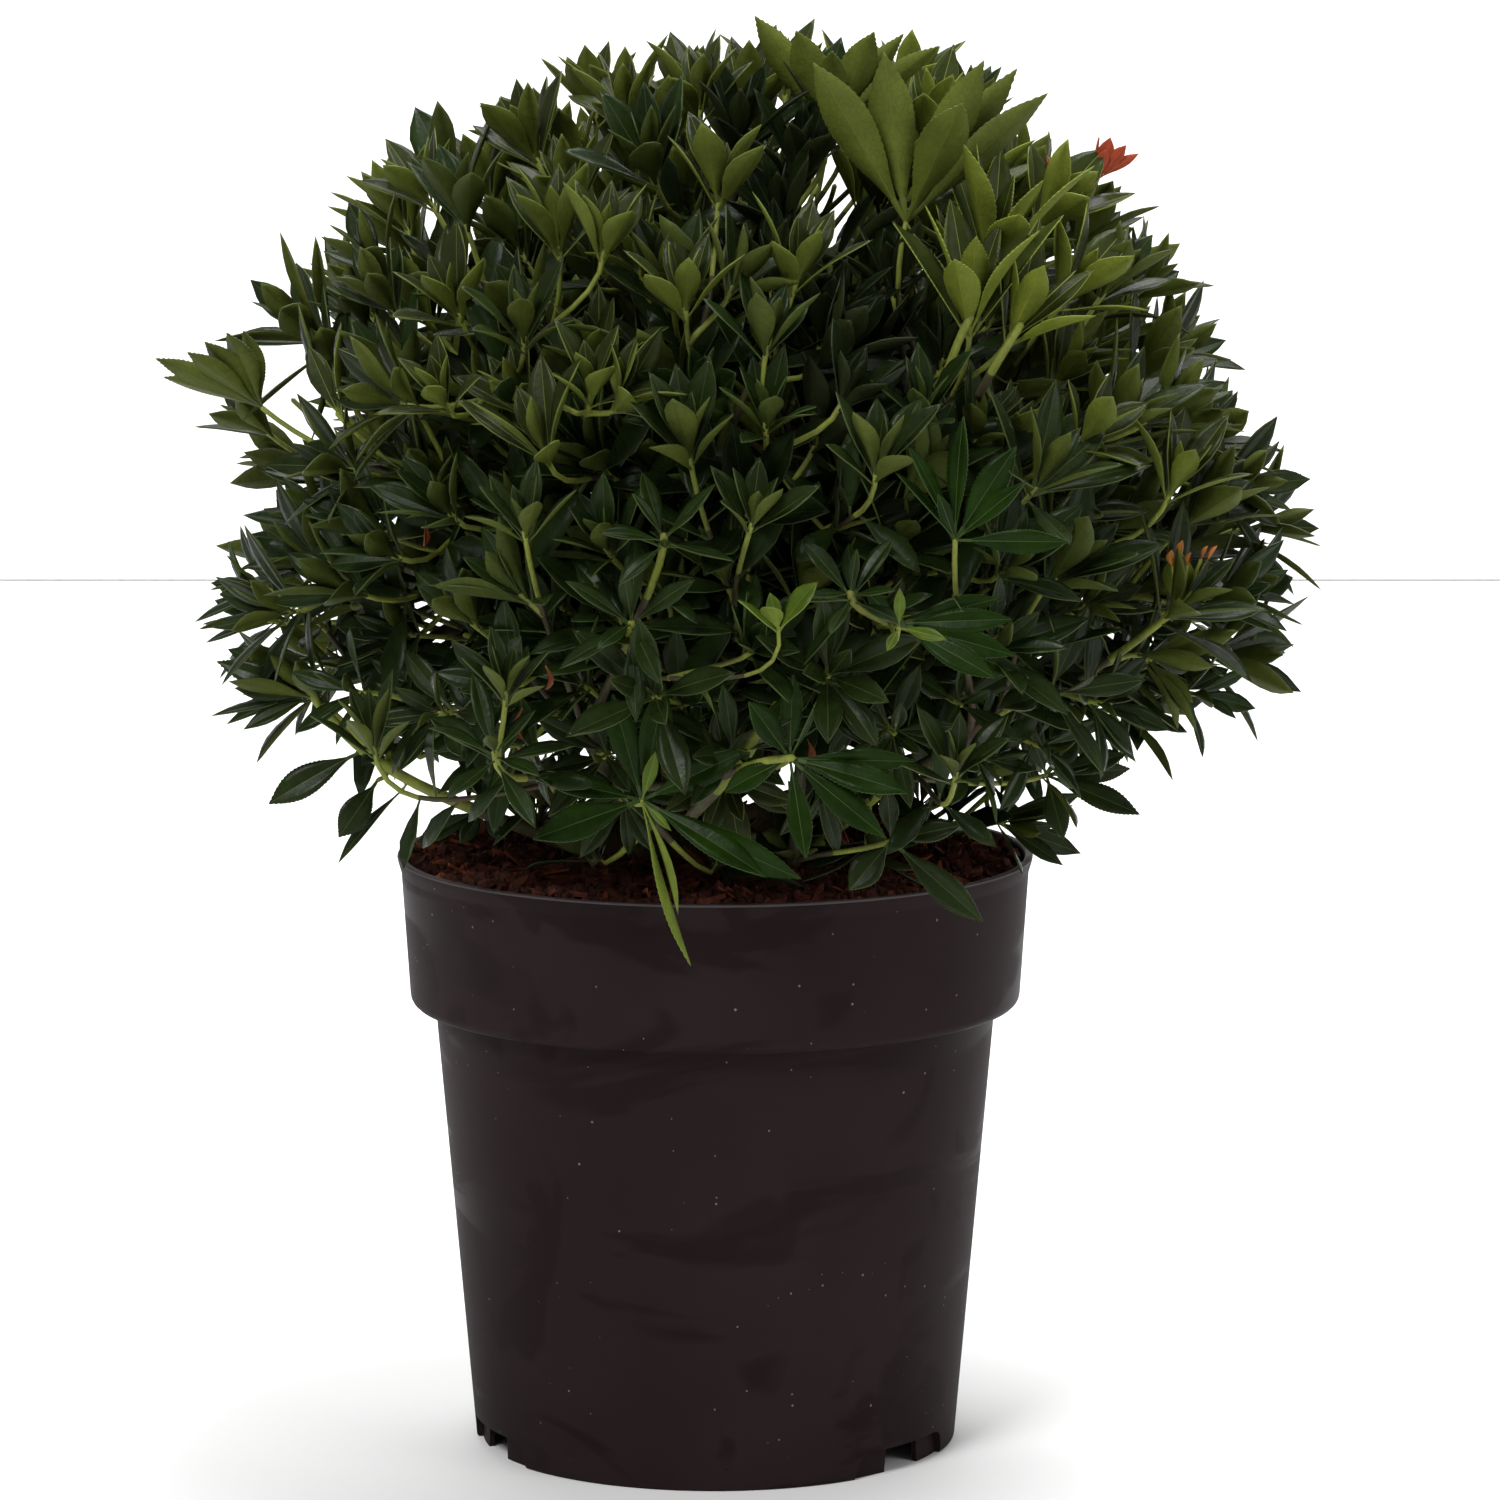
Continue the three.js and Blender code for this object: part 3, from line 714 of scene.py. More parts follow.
@dataclass
class Mass:
    """A mass of the foliage and the bough that carries it.

    The bough starts at the distance ring from the stool's middle and at the height foot_z, upright
    where rise is 1, and it ends at a share of the way to the mass's heart.
    """

    name: str
    heart: np.ndarray
    outward: np.ndarray
    ring: float
    foot_z: float
    rise: float
    share: float
    radius: float


def ring(name, count, radius, z, turn, bough):
    """Masses that stand in a ring, each with the same sort of bough."""
    masses = []
    for i in range(count):
        angle = turn + i * 2 * math.pi / count
        outward = vector(math.cos(angle), math.sin(angle), 0)
        heart = vector(CROWN_CENTRE[0], 0, z) + outward * radius
        masses.append(Mass(f"{name}_{i + 1}", heart, outward, *bough))
    return masses


MASSES = [
    Mass("top", vector(6, 0, 452), vector(0, 0, 0), 0, 222, 1, 0.6, 4.8),
    *ring("upper", 4, 100, 392, 0.6, (11.5, 219, 0.8, 0.58, 4.4)),
    *ring("outer", 6, 138, 278, 0.1, (20, 216, 0.5, 0.52, 4.1)),
]
FOLIAGE_NODES = [f"foliage_{mass.name}" for mass in MASSES]


def bough_curve(mass):
    foot = vector(STOOL_X, 0, mass.foot_z) + mass.outward * mass.ring
    tip = lerp(foot, mass.heart, mass.share)
    start = unit(lerp(mass.outward, UP, mass.rise))
    reach = np.linalg.norm(tip - foot)
    return Curve(foot, foot + start * reach * 0.45, tip)


def stem_curve(mass):
    """The stem of a mass, which runs on from its bough's tip to its heart."""
    bough = bough_curve(mass)
    heading, start = bough.headings[-1], bough.points[-1]
    reach = np.linalg.norm(mass.heart - start)
    return Curve(start, start + heading * reach * 0.45, mass.heart)


def bark_relief(seed):
    """How much a limb swells or shrinks round its section: ridges, cracks and knots."""

    def relief(angles, centre):
        along = centre.sum() * 0.16 + seed
        ridges = 0.06 * np.sin(3 * angles + 1.4 * math.sin(along * 0.5) + seed)
        cracks = 0.045 * np.sin(9 * angles + 2.2 * math.sin(along * 0.9) + 2 * seed)
        knots = 0.1 * max(0.0, math.sin(along * 1.9)) ** 6
        return 1 + ridges + cracks + knots

    return relief


def stool_mesh():
    """The stool: low, flared and lobed, with ridges that run down to the soil."""
    sides, steps = 96, 26
    angles = circle(sides)
    lobes = 1 + LOBE_SHARE * np.cos(STOOL_LOBES * angles - 0.8)
    rows = []
    for height in np.arange(steps + 1) / steps:
        radius = lerp(STOOL_TOP_RADIUS, STOOL_FOOT_RADIUS, (1 - height) ** STOOL_FLARE) * lobes
        radius *= 1 + 0.03 * np.sin(17 * angles + 6 * height) + 0.02 * np.sin(31 * angles - 9 * height)
        radius *= 1 - 0.35 * max(0, height - 0.8) / 0.2
        z = STOOL_FOOT_Z + height * (STOOL_HEIGHT + 2) + 0.8 * np.sin(5 * angles + 1) * height
        rows.append(level_ring(angles, radius, z, STOOL_X))
    ends = [rows[0].mean(0), rows[-1].mean(0) + UP * 1.5]
    return np.concatenate(rows + [ends]), *ring_faces(sides, steps)


def make_limbs():
    joined = Joined()
    joined.add(*stool_mesh())
    for seed, mass in enumerate(MASSES):
        curve = bough_curve(mass)
        steps = int(curve.length / 1.6)
        radii = [mass.radius * 1.25, mass.radius, mass.radius * 0.8, mass.radius * BOUGH_TAPER]
        joined.add(*tube(curve, radii, 18, steps, bark_relief(seed)))
    nodes = ["rootstock"] + [f"bough_{mass.name}" for mass in MASSES]
    joined.piece("bark_limbs", [bark_look()], replaces=nodes, slot="bark")


# The shoots: the marked ones first, then the source's rule carried on to a finer spacing


@dataclass
class Shoot:
    """A leafy shoot: where its twig ends, how it heads, and what its leaves are like.

    leaf is the length of its leaves, and slim their width as a share of it. The whorl opens from
    the angle inner at its heart to outer, and older leaves stand behind the bare stretch. rays are
    leaves placed one by one, facing the way that they turn, stout widens the twig, and room is the
    share of the leaf that others keep clear of. The leaves of a marked one may stand in the open
    spaces. The last four are set as its twig grows.
    """

    tip: np.ndarray
    heading: np.ndarray
    leaf: float
    seed: int
    tint: str = "mid"
    slim: float = 0.3
    leaves: int = 9
    inner: float = 10
    outer: float = 56
    older: int = 3
    bare: float = 20
    bend: float = 10
    rays: tuple = ()
    facing: tuple = (0, -0.94, 0.33)
    stout: float = 1
    room: float = 0.62
    marked: bool = False
    mass: int = 0
    curve: Curve = None
    bearer: object = None
    load: int = 1


def crown_reach(direction):
    """How far the crown reaches from its centre: nearly round, less below, notched on the left."""
    under = smoothstep(-direction[2], 0.12, 0.5)
    azimuth = math.atan2(direction[1], direction[0])
    lumps = math.sin(3 * azimuth + 1.3) * math.cos(5 * direction[2] + 0.6)
    elevation = math.asin(min(1, direction[2]))
    side = max(0, -math.cos(azimuth)) * math.cos(elevation) ** 2
    notches = side * (math.sin(13.5 * elevation + 2.67) - 0.3)
    return CROWN_REACH - UNDERSIDE_DROP * under + REACH_VARIATION * lumps + NOTCH * notches


# What sets each sort of marked shoot apart from the others
BIG = dict(outer=38, slim=0.245, leaves=8, older=1, bare=40, tint="bright", room=0.85)
VASE = dict(inner=7, outer=44, slim=0.32, leaves=8, older=2, bare=30, tint="olive")
DARK = dict(inner=8, outer=50, slim=0.28, bare=26)
FAN = dict(outer=64, slim=0.26, leaves=10)
STAR = dict(inner=34, outer=96, slim=0.25, leaves=10, older=2, tint="deep", bend=14, stout=1.4)
SPRIG = dict(inner=14, outer=46, slim=0.42, leaves=4, older=0, tint="fresh", stout=0.75)
RED = dict(inner=8, outer=52, slim=0.27, older=0, tint="red", room=1.3)
DEEP = dict(DARK, tint="deep")
# Dark shoots in painted shade: their leaves take the near-black shade tint
HIDDEN = dict(DARK, tint="shade", marked=False)
LOW = dict(DEEP, inner=24, outer=76, older=0)
# Low shoots in painted shade: their leaves take the near-black shade tint
LOW_SHADE = dict(LOW, tint="shade")


def by_rays(style, rays, **details):
    """A style whose leaves are placed one by one, with no others where the details name none."""
    return dict(style, **{"rays": rays, "leaves": 0, "older": 0, **details})


# Leaves read off the photo one by one: how far the tip of each lies across, up and forward from
# the base of its whorl, its width, and how far it is turned about its length
FRONT_STAR = [
    (-36, -10, 16, 12, 0),
    (-35, 8.5, 0, 9, 10),
    (-10, 36.6, 4, 9.5, -8),
    (7.8, 40.6, 8, 10.5, 6),
    (35, 18.6, 10, 10, 10),
    (41.6, -20.5, 22, 10, -6),
    (53.8, -29, 3, 11.5, 30),
]
HANGING_LEAVES = [
    (13.2, -57, 5, 8, 108),
    (16.6, -36.6, 8, 6.5, -106),
    (5, 17.6, 9, 5, 20),
    (10, -9, 7, 3, 0),
]
SIDE_STAR = [
    (42, 0, 8, 8, 14),
    (39, -8, 14, 10.5, -8),
    (31.6, -25, 12, 9.5, 12),
    (5.4, -32.5, 10, 8, 0),
    (-13.4, 20.8, 14, 9, 0),
    (0.7, 29, 6, 7.5, -10),
    (-23.5, -11.4, -4, 8, 10),
    (10, 20, 10, 4, 70),
]
BIGGEST_WHORL = [
    (-32, 57, 14, 15, 0),
    (19, 46.5, 30, 15.5, 0),
    (-8.2, 59, 2, 15.5, 6),
    (26.2, 57, 8, 14, -6),
    (36.5, 54, -4, 11.5, 0),
    (47.3, 46, 6, 13, 12),
    (19.8, -32.8, 16, 9, 30),
]
TOP_WHORL = [
    (-27, 40.5, 4, 10.5, 8),
    (-12.5, 36, 10, 12.5, 0),
    (14.7, 35.5, 8, 12, 0),
    (24, 34.5, -2, 8, 10),
    (36.5, 32, 2, 8, 10),
    (0, 30, 14, 10, 0),
]
FAR_LEFT = [
    (-37, 19.5, 4, 8, 20),
    (-34.7, 12, -4, 8, -20),
    (-25, 22, 10, 9, 0),
    (-18.7, 26, 6, 10, 10),
    (-10, 29.5, 8, 10.5, 0),
    (-4.6, 28.3, 0, 9, 0),
]
RIGHT_VASE = [
    (-18.4, 24.9, 8, 6.5, 55),
    (-13.7, 34.6, 10, 7, 45),
    (0.5, 41.7, 6, 7.5, -25),
    (19.5, 31.9, 6, 10, 0),
    (21.6, 21.1, 12, 7, -10),
    (37.3, 0, 8, 8, 20),
    (-5.6, 16.2, 14, 5, 0),
]
RIGHT_FAN = [
    (38.4, 2.7, 6, 8, 0),
    (34, 9, 2, 8, 10),
    (39, -8.7, 10, 9, 0),
    (32.5, -15.7, 14, 9.5, -10),
    (45.4, -18.4, 2, 8, 10),
    (-9.7, 11.4, 8, 6, 0),
]
RIGHT_SPRIG = [(0, 13.5, 10, 4, 0), (15.1, -2.2, 10, 4.5, 0), (-4, -6, 8, 3.5, 0)]
LOW_LEFT = [(-32.5, -15.7, 8, 11, 10)]
LOW_LEFT_NEAR = [(-13, -18.5, 10, 10.5, -10)]
LOW_LEFT_INNER = [(-26, -24, 4, 6, 45)]
LOW_LEFT_FAR = [(-36, -5.5, 2, 6, 40), (-24, -9.5, 8, 6.5, 20), (-27, 3, 4, 7, -20), (-34, 13, -2, 8, 0)]
RIM_LEFT = [(-24.5, -11, 4, 7.5, 20), (-8, -11, 8, 6.5, 0), (8, -10, 8, 7, 10), (4, 14, 6, 8, 0)]
RIM_RIGHT = [
    (-14.5, -15.5, 8, 10.5, 0),
    (31, -26, 12, 10, 10),
    (-1.5, 19, 6, 7, 0),
    (23, 7, 8, 7.5, 0),
    (14, 13, 4, 6, 20),
]
LOW_RIGHT = [
    (27.6, 9, 6, 8.5, 0),
    (30.5, 1.5, -2, 7.5, 20),
    (32.5, -11.5, 10, 9, 0),
    (5.6, -21.3, 8, 8.5, 10),
    (10.5, 15, 4, 9, 0),
    (-7, 18, 8, 8.5, -10),
]
RED_WHORL = [
    (-1.4, 15.4, 1, 3, 75),
    (3.9, 15.4, 4, 6, 0),
    (9.6, 12.9, 3, 5, 0),
    (13.9, 10, 1, 4, 10),
    (2.2, 11, 5, 4.5, 0),
]

# The shoots that stand out in the photo: where each whorl sits, across and up, how it heads and
# the length of its leaves. How far forward it sits follows from the crown's reach, less its depth.
MARKS = [
    (-88, 417, (-0.35, -0.35, 0.9), 35, 0, VASE),
    (-64, 412, (0, -0.25, 1), 33, 0, DARK),
    (-41, 395, (-0.12, -0.3, 1), 31, 0, VASE),
    (-32, 392, (-0.05, -0.35, 1), 32, 2, VASE),
    (-37, 441, (0, -0.22, 1), 32, 0, VASE),
    (-9, 423, (0.02, -0.25, 1), 33, 0, VASE),
    (-53, 440, (-0.1, -0.2, 1), 38, 8, VASE),
    (-100, 452, (-0.5, -0.1, 0.8), 33, 0, VASE),
    (-64, 467, (-0.4, -0.1, 0.95), 35, 0, VASE),
    (-91, 390, (-0.3, -0.4, 0.9), 28, 0, VASE),
    (-128, 362, (-0.9, -0.3, 0.25), 37, 0, FAN),
    (-107, 388, (-0.9, -0.3, 0.3), 36, 0, FAN),
    (-5, 485, (-0.05, -0.1, 1), 34, 0, VASE),
    (87, 416, (0.02, -0.2, 1), 50, -8, BIG),
    (101, 413, (0.3, -0.35, 0.9), 43, -10, BIG),
    (95, 433, (0.06, -0.15, 1), 54, -10, BIG),
    (28, 431, (0.25, -0.2, 0.95), 35, 0, VASE),
    (7, 430, (0.3, -0.2, 0.95), 31, 4, DARK),
    (115, 447, (0.6, -0.15, 0.7), 35, 0, dict(VASE, tint="bright", slim=0.4)),
    (18, 386, (0, -0.45, 0.85), 31, 6, DEEP),
    (71, 387, (0, -0.4, 0.9), 32, 10, DEEP),
    (2, 458, (0.1, -0.2, 1), 34, 0, VASE),
    (-141, 326, (-0.9, -0.25, 0.2), 34, 0, FAN),
    (-150, 311, (-0.97, -0.1, 0.02), 37, -4, FAN),
    (-142, 281, (-0.97, -0.1, 0), 40, -8, FAN),
    (-115, 274, (-0.1, -0.3, 1), 31, 10, DARK),
    (-73, 276, (0, -0.6, 0.75), 31, 4, STAR),
    (-69, 297, (0.05, -0.4, 0.9), 26, 6, DARK),
    (-27, 320, (0, -0.85, 0.35), 33, 0, STAR),
    (-63, 350, (-0.1, -0.5, 0.85), 28, 0, DARK),
    (-16, 350, (0, -0.7, 0.6), 26, 0, STAR),
    (81, 348, (0.02, -0.5, 0.85), 35, -4, by_rays(DARK, RIGHT_VASE, tint="lush", older=1)),
    (62, 319, (0.8, -0.55, 0), 40, -2, by_rays(FAN, RIGHT_FAN, tint="lush", older=1)),
    (109, 363, (0.4, -0.42, 0.8), 41, -6, FAN),
    (157, 357, (0.3, -0.35, 0.9), 34, 0, VASE),
    (159, 315, (0.6, -0.35, 0.6), 41, -4, dict(FAN, stout=1.5)),
    (82, 269, (0.1, -0.5, 0.85), 28, 4, DARK),
    (104, 228, (0.85, -0.3, -0.15), 32, 0, FAN),
    (152, 295, (0.4, -0.35, -0.45), 35, 0, FAN),
    (178, 289, (0.95, -0.15, -0.1), 43, -6, FAN),
    (192, 333, (0.95, -0.05, 0.12), 37, -4, FAN),
    (46, 331, (0, -0.7, 0.6), 26, 2, STAR),
    (22, 321, (-0.15, -0.4, 0.9), 20, -6, SPRIG),
    (62, 321, (0.1, -0.3, 0.9), 15, -6, by_rays(SPRIG, RIGHT_SPRIG)),
]
# The ones whose whole place is known: they stand on the outline, hang down or keep behind others
PLACED_MARKS = [
    ((66, -98, 449), (0.25, 0.05, 1), 60, by_rays(VASE, BIGGEST_WHORL, facing=(0, 0.94, 0.35))),
    ((-24, -150, 257), (0.03, -0.9, 0.33), 50, by_rays(STAR, FRONT_STAR, tint="lush")),
    ((-24, -151, 257), (0.03, -0.9, 0.33), 30, by_rays(SPRIG, HANGING_LEAVES)),
    ((26, -165, 273.5), (0.2, -0.88, 0.33), 42, by_rays(STAR, SIDE_STAR, tint="lush")),
    ((-160, -30, 379), (-0.75, -0.1, 0.65), 36, by_rays(FAN, FAR_LEFT, older=1, facing=(0.3, 0.8, 0.5))),
    ((24, -84, 446), (-0.1, -0.2, 1), 38, HIDDEN),
    ((30, -62, 463), (0.05, -0.2, 1), 38, HIDDEN),
    ((20, -104, 428), (0, -0.4, 1), 36, HIDDEN),
    ((58, -52, 452), (0.1, -0.2, 1), 36, HIDDEN),
    ((40, -40, 474), (0, -0.1, 1), 38, HIDDEN),
    ((8, -60, 474), (-0.1, -0.1, 1), 36, HIDDEN),
    ((62, -84, 424), (0, -0.4, 1), 34, HIDDEN),
    ((95, -10, 452), (0.2, -0.1, 1), 34, VASE),
    ((106, -6, 452), (0.3, 0.1, 1), 34, VASE),
    ((134, -20, 412), (0.5, -0.3, 0.9), 34, DARK),
    ((-124, -10, 408), (-0.5, -0.3, 0.9), 34, DARK),
    ((44, 66, 224), (0.2, 0.3, 1), 36, LOW),
    ((76, 46, 226), (0.4, 0.2, 1), 36, LOW),
    ((62, 10, 228), (0.4, -0.2, 1), 32, LOW),
    ((-50, 58, 224), (-0.2, 0.3, 1), 36, LOW),
    ((-66, 24, 226), (-0.4, 0.1, 1), 32, LOW),
    ((8, 30, 232), (0.1, 0.2, 1), 34, LOW),
    ((84, -30, 232), (0.4, -0.3, 1), 32, LOW),
    ((36, -70, 232), (0.2, -0.5, 1), 32, LOW),
    ((28, -86, 227), (0.1, -0.2, 1), 30, LOW_SHADE),
    ((2, -88, 227), (0, -0.2, 1), 30, LOW_SHADE),
    ((54, -80, 229), (0.2, -0.2, 1), 30, LOW_SHADE),
    ((-42, -82, 228), (-0.1, -0.2, 1), 28, LOW_SHADE),
    ((-20, 78, 224), (0, 0.4, 1), 34, LOW),
    ((-142, -10, 402), (-0.75, -0.2, 0.6), 42, FAN),
    ((41, -45, 478), (0.1, 0.1, 1), 42, by_rays(VASE, TOP_WHORL, older=1, facing=(0, 0.94, 0.35))),
    ((12, -22, 481), (0, -0.05, 1), 35, VASE),
    ((-124, -72, 262), (-0.9, -0.2, 0.1), 36, by_rays(FAN, LOW_LEFT)),
    ((-118, -68, 251.5), (-0.9, -0.3, 0.1), 36, by_rays(FAN, LOW_LEFT_NEAR)),
    ((-109, -64, 248), (-0.9, -0.2, 0.1), 36, by_rays(FAN, LOW_LEFT_INNER)),
    ((-141, -66, 281), (-0.8, -0.1, 0.5), 36, by_rays(FAN, LOW_LEFT_FAR, leaves=6)),
    ((-82, -40, 237), (-0.8, -0.2, 0.4), 30, by_rays(FAN, RIM_LEFT, tint="deep")),
    ((61, -125, 239), (0.5, -0.7, 0.3), 36, by_rays(FAN, RIM_RIGHT)),
    ((117, -60, 252), (0.8, -0.3, 0.3), 36, by_rays(FAN, LOW_RIGHT, leaves=3, older=2)),
    ((161, 0, 393), (0.85, -0.1, 0.45), 36, FAN),
    ((150, -15, 418), (0.7, -0.1, 0.65), 32, FAN),
    ((172, -20, 365), (0.95, -0.1, 0.35), 36, FAN),
    ((182, -30, 350), (0.98, -0.1, 0.12), 36, FAN),
    ((135, -34, 460), (0.15, -0.1, 1), 22, by_rays(RED, RED_WHORL, facing=(0, 1, 0.3))),
    ((118, -32, 464), (0, 0.1, 1), 7, dict(RED, leaves=6)),
    ((128, -34, 459), (0.1, 0.1, 1), 6, dict(RED, leaves=6)),
]
# Bare stems that show between the leaves, from foot to tip, with their radii
STEMS = [
    (((-48, -40, 222), (-88, -62, 243), (-120, -72, 250), (-142, -66, 283)), (2.5, 2.2, 1.9, 1.5)),
    (((-8, -118, 246), (3, -142, 262), (12, -148, 271), (22, -136, 288)), (2, 2.4, 2.2, 1.6)),
    (((4, -140, 264), (10, -158, 270), (18, -164, 273), (27, -167, 274)), (1.7, 1.5, 1.4, 1.3)),
    (((76, -128, 392), (80, -136, 402), (82, -138, 412), (87, -138, 420)), (1.6, 1.5, 1.4, 1.3)),
    (((90, -130, 392), (94, -138, 402), (98, -140, 408), (104, -134, 417)), (1.6, 1.5, 1.4, 1.3)),
]
# Straight openings through which the photo shows the sky: across, up and radius, where y is 0
OPENINGS = [
    (40, 455, 5),
    (41, 447, 6),
    (38, 440, 4),
    (-153, 386, 9),
    (-150, 374, 8),
    (-100, 296, 4),
    (-106, 242, 4),
]
# Two dark hollows beside the biggest whorl, where no shoot stands: their places and radii
HOLLOWS = [((32, -118, 452), 18), ((28, -128, 432), 14)]
# The y that no leaf at the crown's back reaches past
CROWN_BACK = 197
# The places about which the crown lies in deep shade, painted there as near-black leaves, and how far each
# reaches
SHADES = [((36, -88, 436), 46), ((48, -122, 392), 40), ((30, -146, 354), 28)]
# Small withered leaves that hang among the shoots, with their lengths
WITHERED = [
    ((-56, -165, 305), 9),
    ((-64, -160, 290), 12),
    ((-98, -120, 349), 10),
    ((32, -158, 279), 9),
    ((46, -66, 240), 13),
    ((-62, -90, 217), 11),
    ((-22, -98, 217), 10),
    ((14, -100, 217), 13),
    ((4, -96, 218), 9),
    ((-46, -99, 217), 9),
    ((52, -94, 217), 10),
    ((60, -120, 272), 9),
]


def marked_shoot(seed, across, up, heading, leaf, depth, details):
    """A marked shoot, as far forward as the crown's reach lets the tips of its leaves be."""
    heading = unit(vector(*heading))
    tip = vector(across, 0, up)
    for forward in range(FARTHEST_FORWARD, -1, -1):
        tip[1] = -forward
        reach = tip + heading * LEAF_LEAN * leaf - CROWN_CENTRE
        if np.linalg.norm(reach) <= crown_reach(unit(reach)) - depth:
            break
    return Shoot(tip, heading, leaf, seed, marked=True, **details)


def marked_shoots():
    shoots = [marked_shoot(seed, *mark) for seed, mark in enumerate(MARKS)]
    for place, heading, leaf, details in PLACED_MARKS:
        tip, heading = vector(*place), unit(vector(*heading))
        shoots.append(Shoot(tip, heading, leaf, len(shoots), **{"marked": True, **details}))
    return shoots


def tint_of(index, tip):
    """The tint of a shoot: lighter ones gather at the crown's top right and deep ones below."""
    draw = seeded(index, 31)
    bright = 0.5 * smoothstep(tip[0], 10, 90) * smoothstep(tip[2], 380, 450)
    olive = 0.06 + 0.64 * smoothstep(tip[2], 330, 480)
    deep = 0.62 - 0.42 * smoothstep(tip[2], 260, 420)
    if draw < bright:
        return "bright"
    if draw < olive:
        return "olive"
    return "deep" if draw > 1 - deep else "mid"


def crown_shoot(index, shallow, deep):
    """An evenly spread point of the crown's shell as a shoot, more of them near the outside."""
    azimuth = 2 * math.pi * evenly(index, 0)
    sine = lerp(LOWEST_SINE, 1, evenly(index, 1))
    level = math.sqrt(1 - sine * sine)
    outward = vector(level * math.cos(azimuth), level * math.sin(azimuth), sine)
    depth = lerp(shallow, deep, evenly(index, 2) ** 1.8)
    reach = CROWN_CENTRE + outward * (crown_reach(outward) - depth)
    upright = smoothstep(sine, -0.25, 0.25)
    heading = outward * vector(1, lerp(0.85, 0.4, upright), 1) + UP * lerp(0.16, 0.36, upright)
    heading[0] += SHOOT_SPREAD * (seeded(index, 1) - 0.5)
    heading[1] += SHOOT_SPREAD * (seeded(index, 2) - 0.5)
    heading = unit(heading)
    low = smoothstep(-sine, -0.3, 0.35)
    leaf = LEAF_LENGTH * (0.8 + 0.34 * seeded(index, 3)) * (1 - 0.1 * low)
    tip = reach - heading * LEAF_LEAN * leaf
    return Shoot(
        tip,
        heading,
        leaf,
        index + 100,
        tint=tint_of(index, tip),
        slim=lerp(0.315, 0.272, low) * (0.9 + 0.2 * seeded(index, 32)),
        leaves=7 + int(4 * seeded(index, 33)),
        inner=lerp(7, 20, low),
        outer=lerp(38, 72, low) + 14 * seeded(index, 34),
        bare=lerp(26, 18, low),
        bend=lerp(7, 13, low),
    )


def crown_shoots():
    """Every shoot of the crown: thrown at a wide spacing first, then at closer ones between.
    A marked shoot keeps the others out of its leaves, and dark ones fill the crown's inside."""
    shoots = marked_shoots()
    tips = [shoot.tip for shoot in shoots]
    hearts = [shoot.tip + shoot.heading * shoot.leaf * 0.55 for shoot in shoots]
    hearts = np.array(hearts + [place for place, _ in HOLLOWS])
    rooms = np.array([shoot.leaf * shoot.room for shoot in shoots] + [radius for _, radius in HOLLOWS])
    layers = [(spacing, 0, SHOOT_DEPTH) for spacing in SPACINGS] + [(INNER_SPACING, *INNER_DEPTHS)]
    index = 0
    for spacing, shallow, deep in layers:
        for _ in range(THROWS):
            shoot = crown_shoot(index, shallow, deep)
            index += 1
            middle = shoot.tip + shoot.heading * shoot.leaf * 0.5
            apart = np.linalg.norm(np.array(tips) - shoot.tip, axis=1).min() > spacing
            if apart and (np.linalg.norm(hearts - middle, axis=1) > rooms).all():
                if shallow > 0:
                    shoot.tint, shoot.outer = "deep", INNER_OPENING
                # Near these places the leaves take the shade tint: painted shade
                if any(np.linalg.norm(shoot.tip - place) < reach for place, reach in SHADES):
                    shoot.tint = "shade"
                shoots.append(shoot)
                tips.append(shoot.tip)
    return shoots


def nearest_mass(place):
    """The number of the mass whose heart is nearest."""
    return int(np.argmin([np.linalg.norm(mass.heart - place) for mass in MASSES]))


def grow_twigs(shoots):
    """Gives each shoot its twig, forked from the limb or older twig that costs it least."""
    stems = [stem_curve(mass) for mass in MASSES]
    points = np.concatenate([stem.place(FORKS) for stem in stems])
    headings = np.concatenate([stem.heading(FORKS) for stem in stems])
    masses = np.repeat(np.arange(len(MASSES)), len(FORKS))
    bearers = [None] * len(masses)
    for shoot in shoots:
        shoot.mass = nearest_mass(shoot.tip)
        way = shoot.tip - points
        reach = np.linalg.norm(way, axis=1)
        cost = reach * (1.5 - (unit(way) * headings).sum(1)) * (1.35 - unit(way) @ shoot.heading)
        best = int(np.where(masses == shoot.mass, cost, np.inf).argmin())
        way, reach = way[best], reach[best]
        start = points[best]
        shoot.curve = Curve(
            start,
            start + way * 0.25 + headings[best] * reach * 0.06,
            shoot.tip - shoot.heading * reach * 0.4,
            shoot.tip,
        )
        bearer = shoot.bearer = bearers[best]
        while bearer is not None:
            bearer.load += 1
            bearer = bearer.bearer
        points = np.concatenate([points, shoot.curve.place(FORKS)])
        headings = np.concatenate([headings, shoot.curve.heading(FORKS)])
        masses = np.append(masses, [shoot.mass] * len(FORKS))
        bearers += [shoot] * len(FORKS)
    return stems


def twig_radius(load):
    """The radius at the foot of a twig that carries this many shoots."""
    return min(THICKEST_TWIG, TWIG_TIP_RADIUS * load**0.3 + 0.15)


def add_twig(joined, curve, radii, sides, steps, young_from):
    """Adds a twig that is old wood at its foot and young wood past a share of its length."""
    points, quads, ends = tube(curve, radii, sides, steps)
    young = np.repeat(np.arange(steps) / steps > young_from, sides).astype(int)
    joined.add(points, quads, ends, young, np.repeat([0, 1], sides))


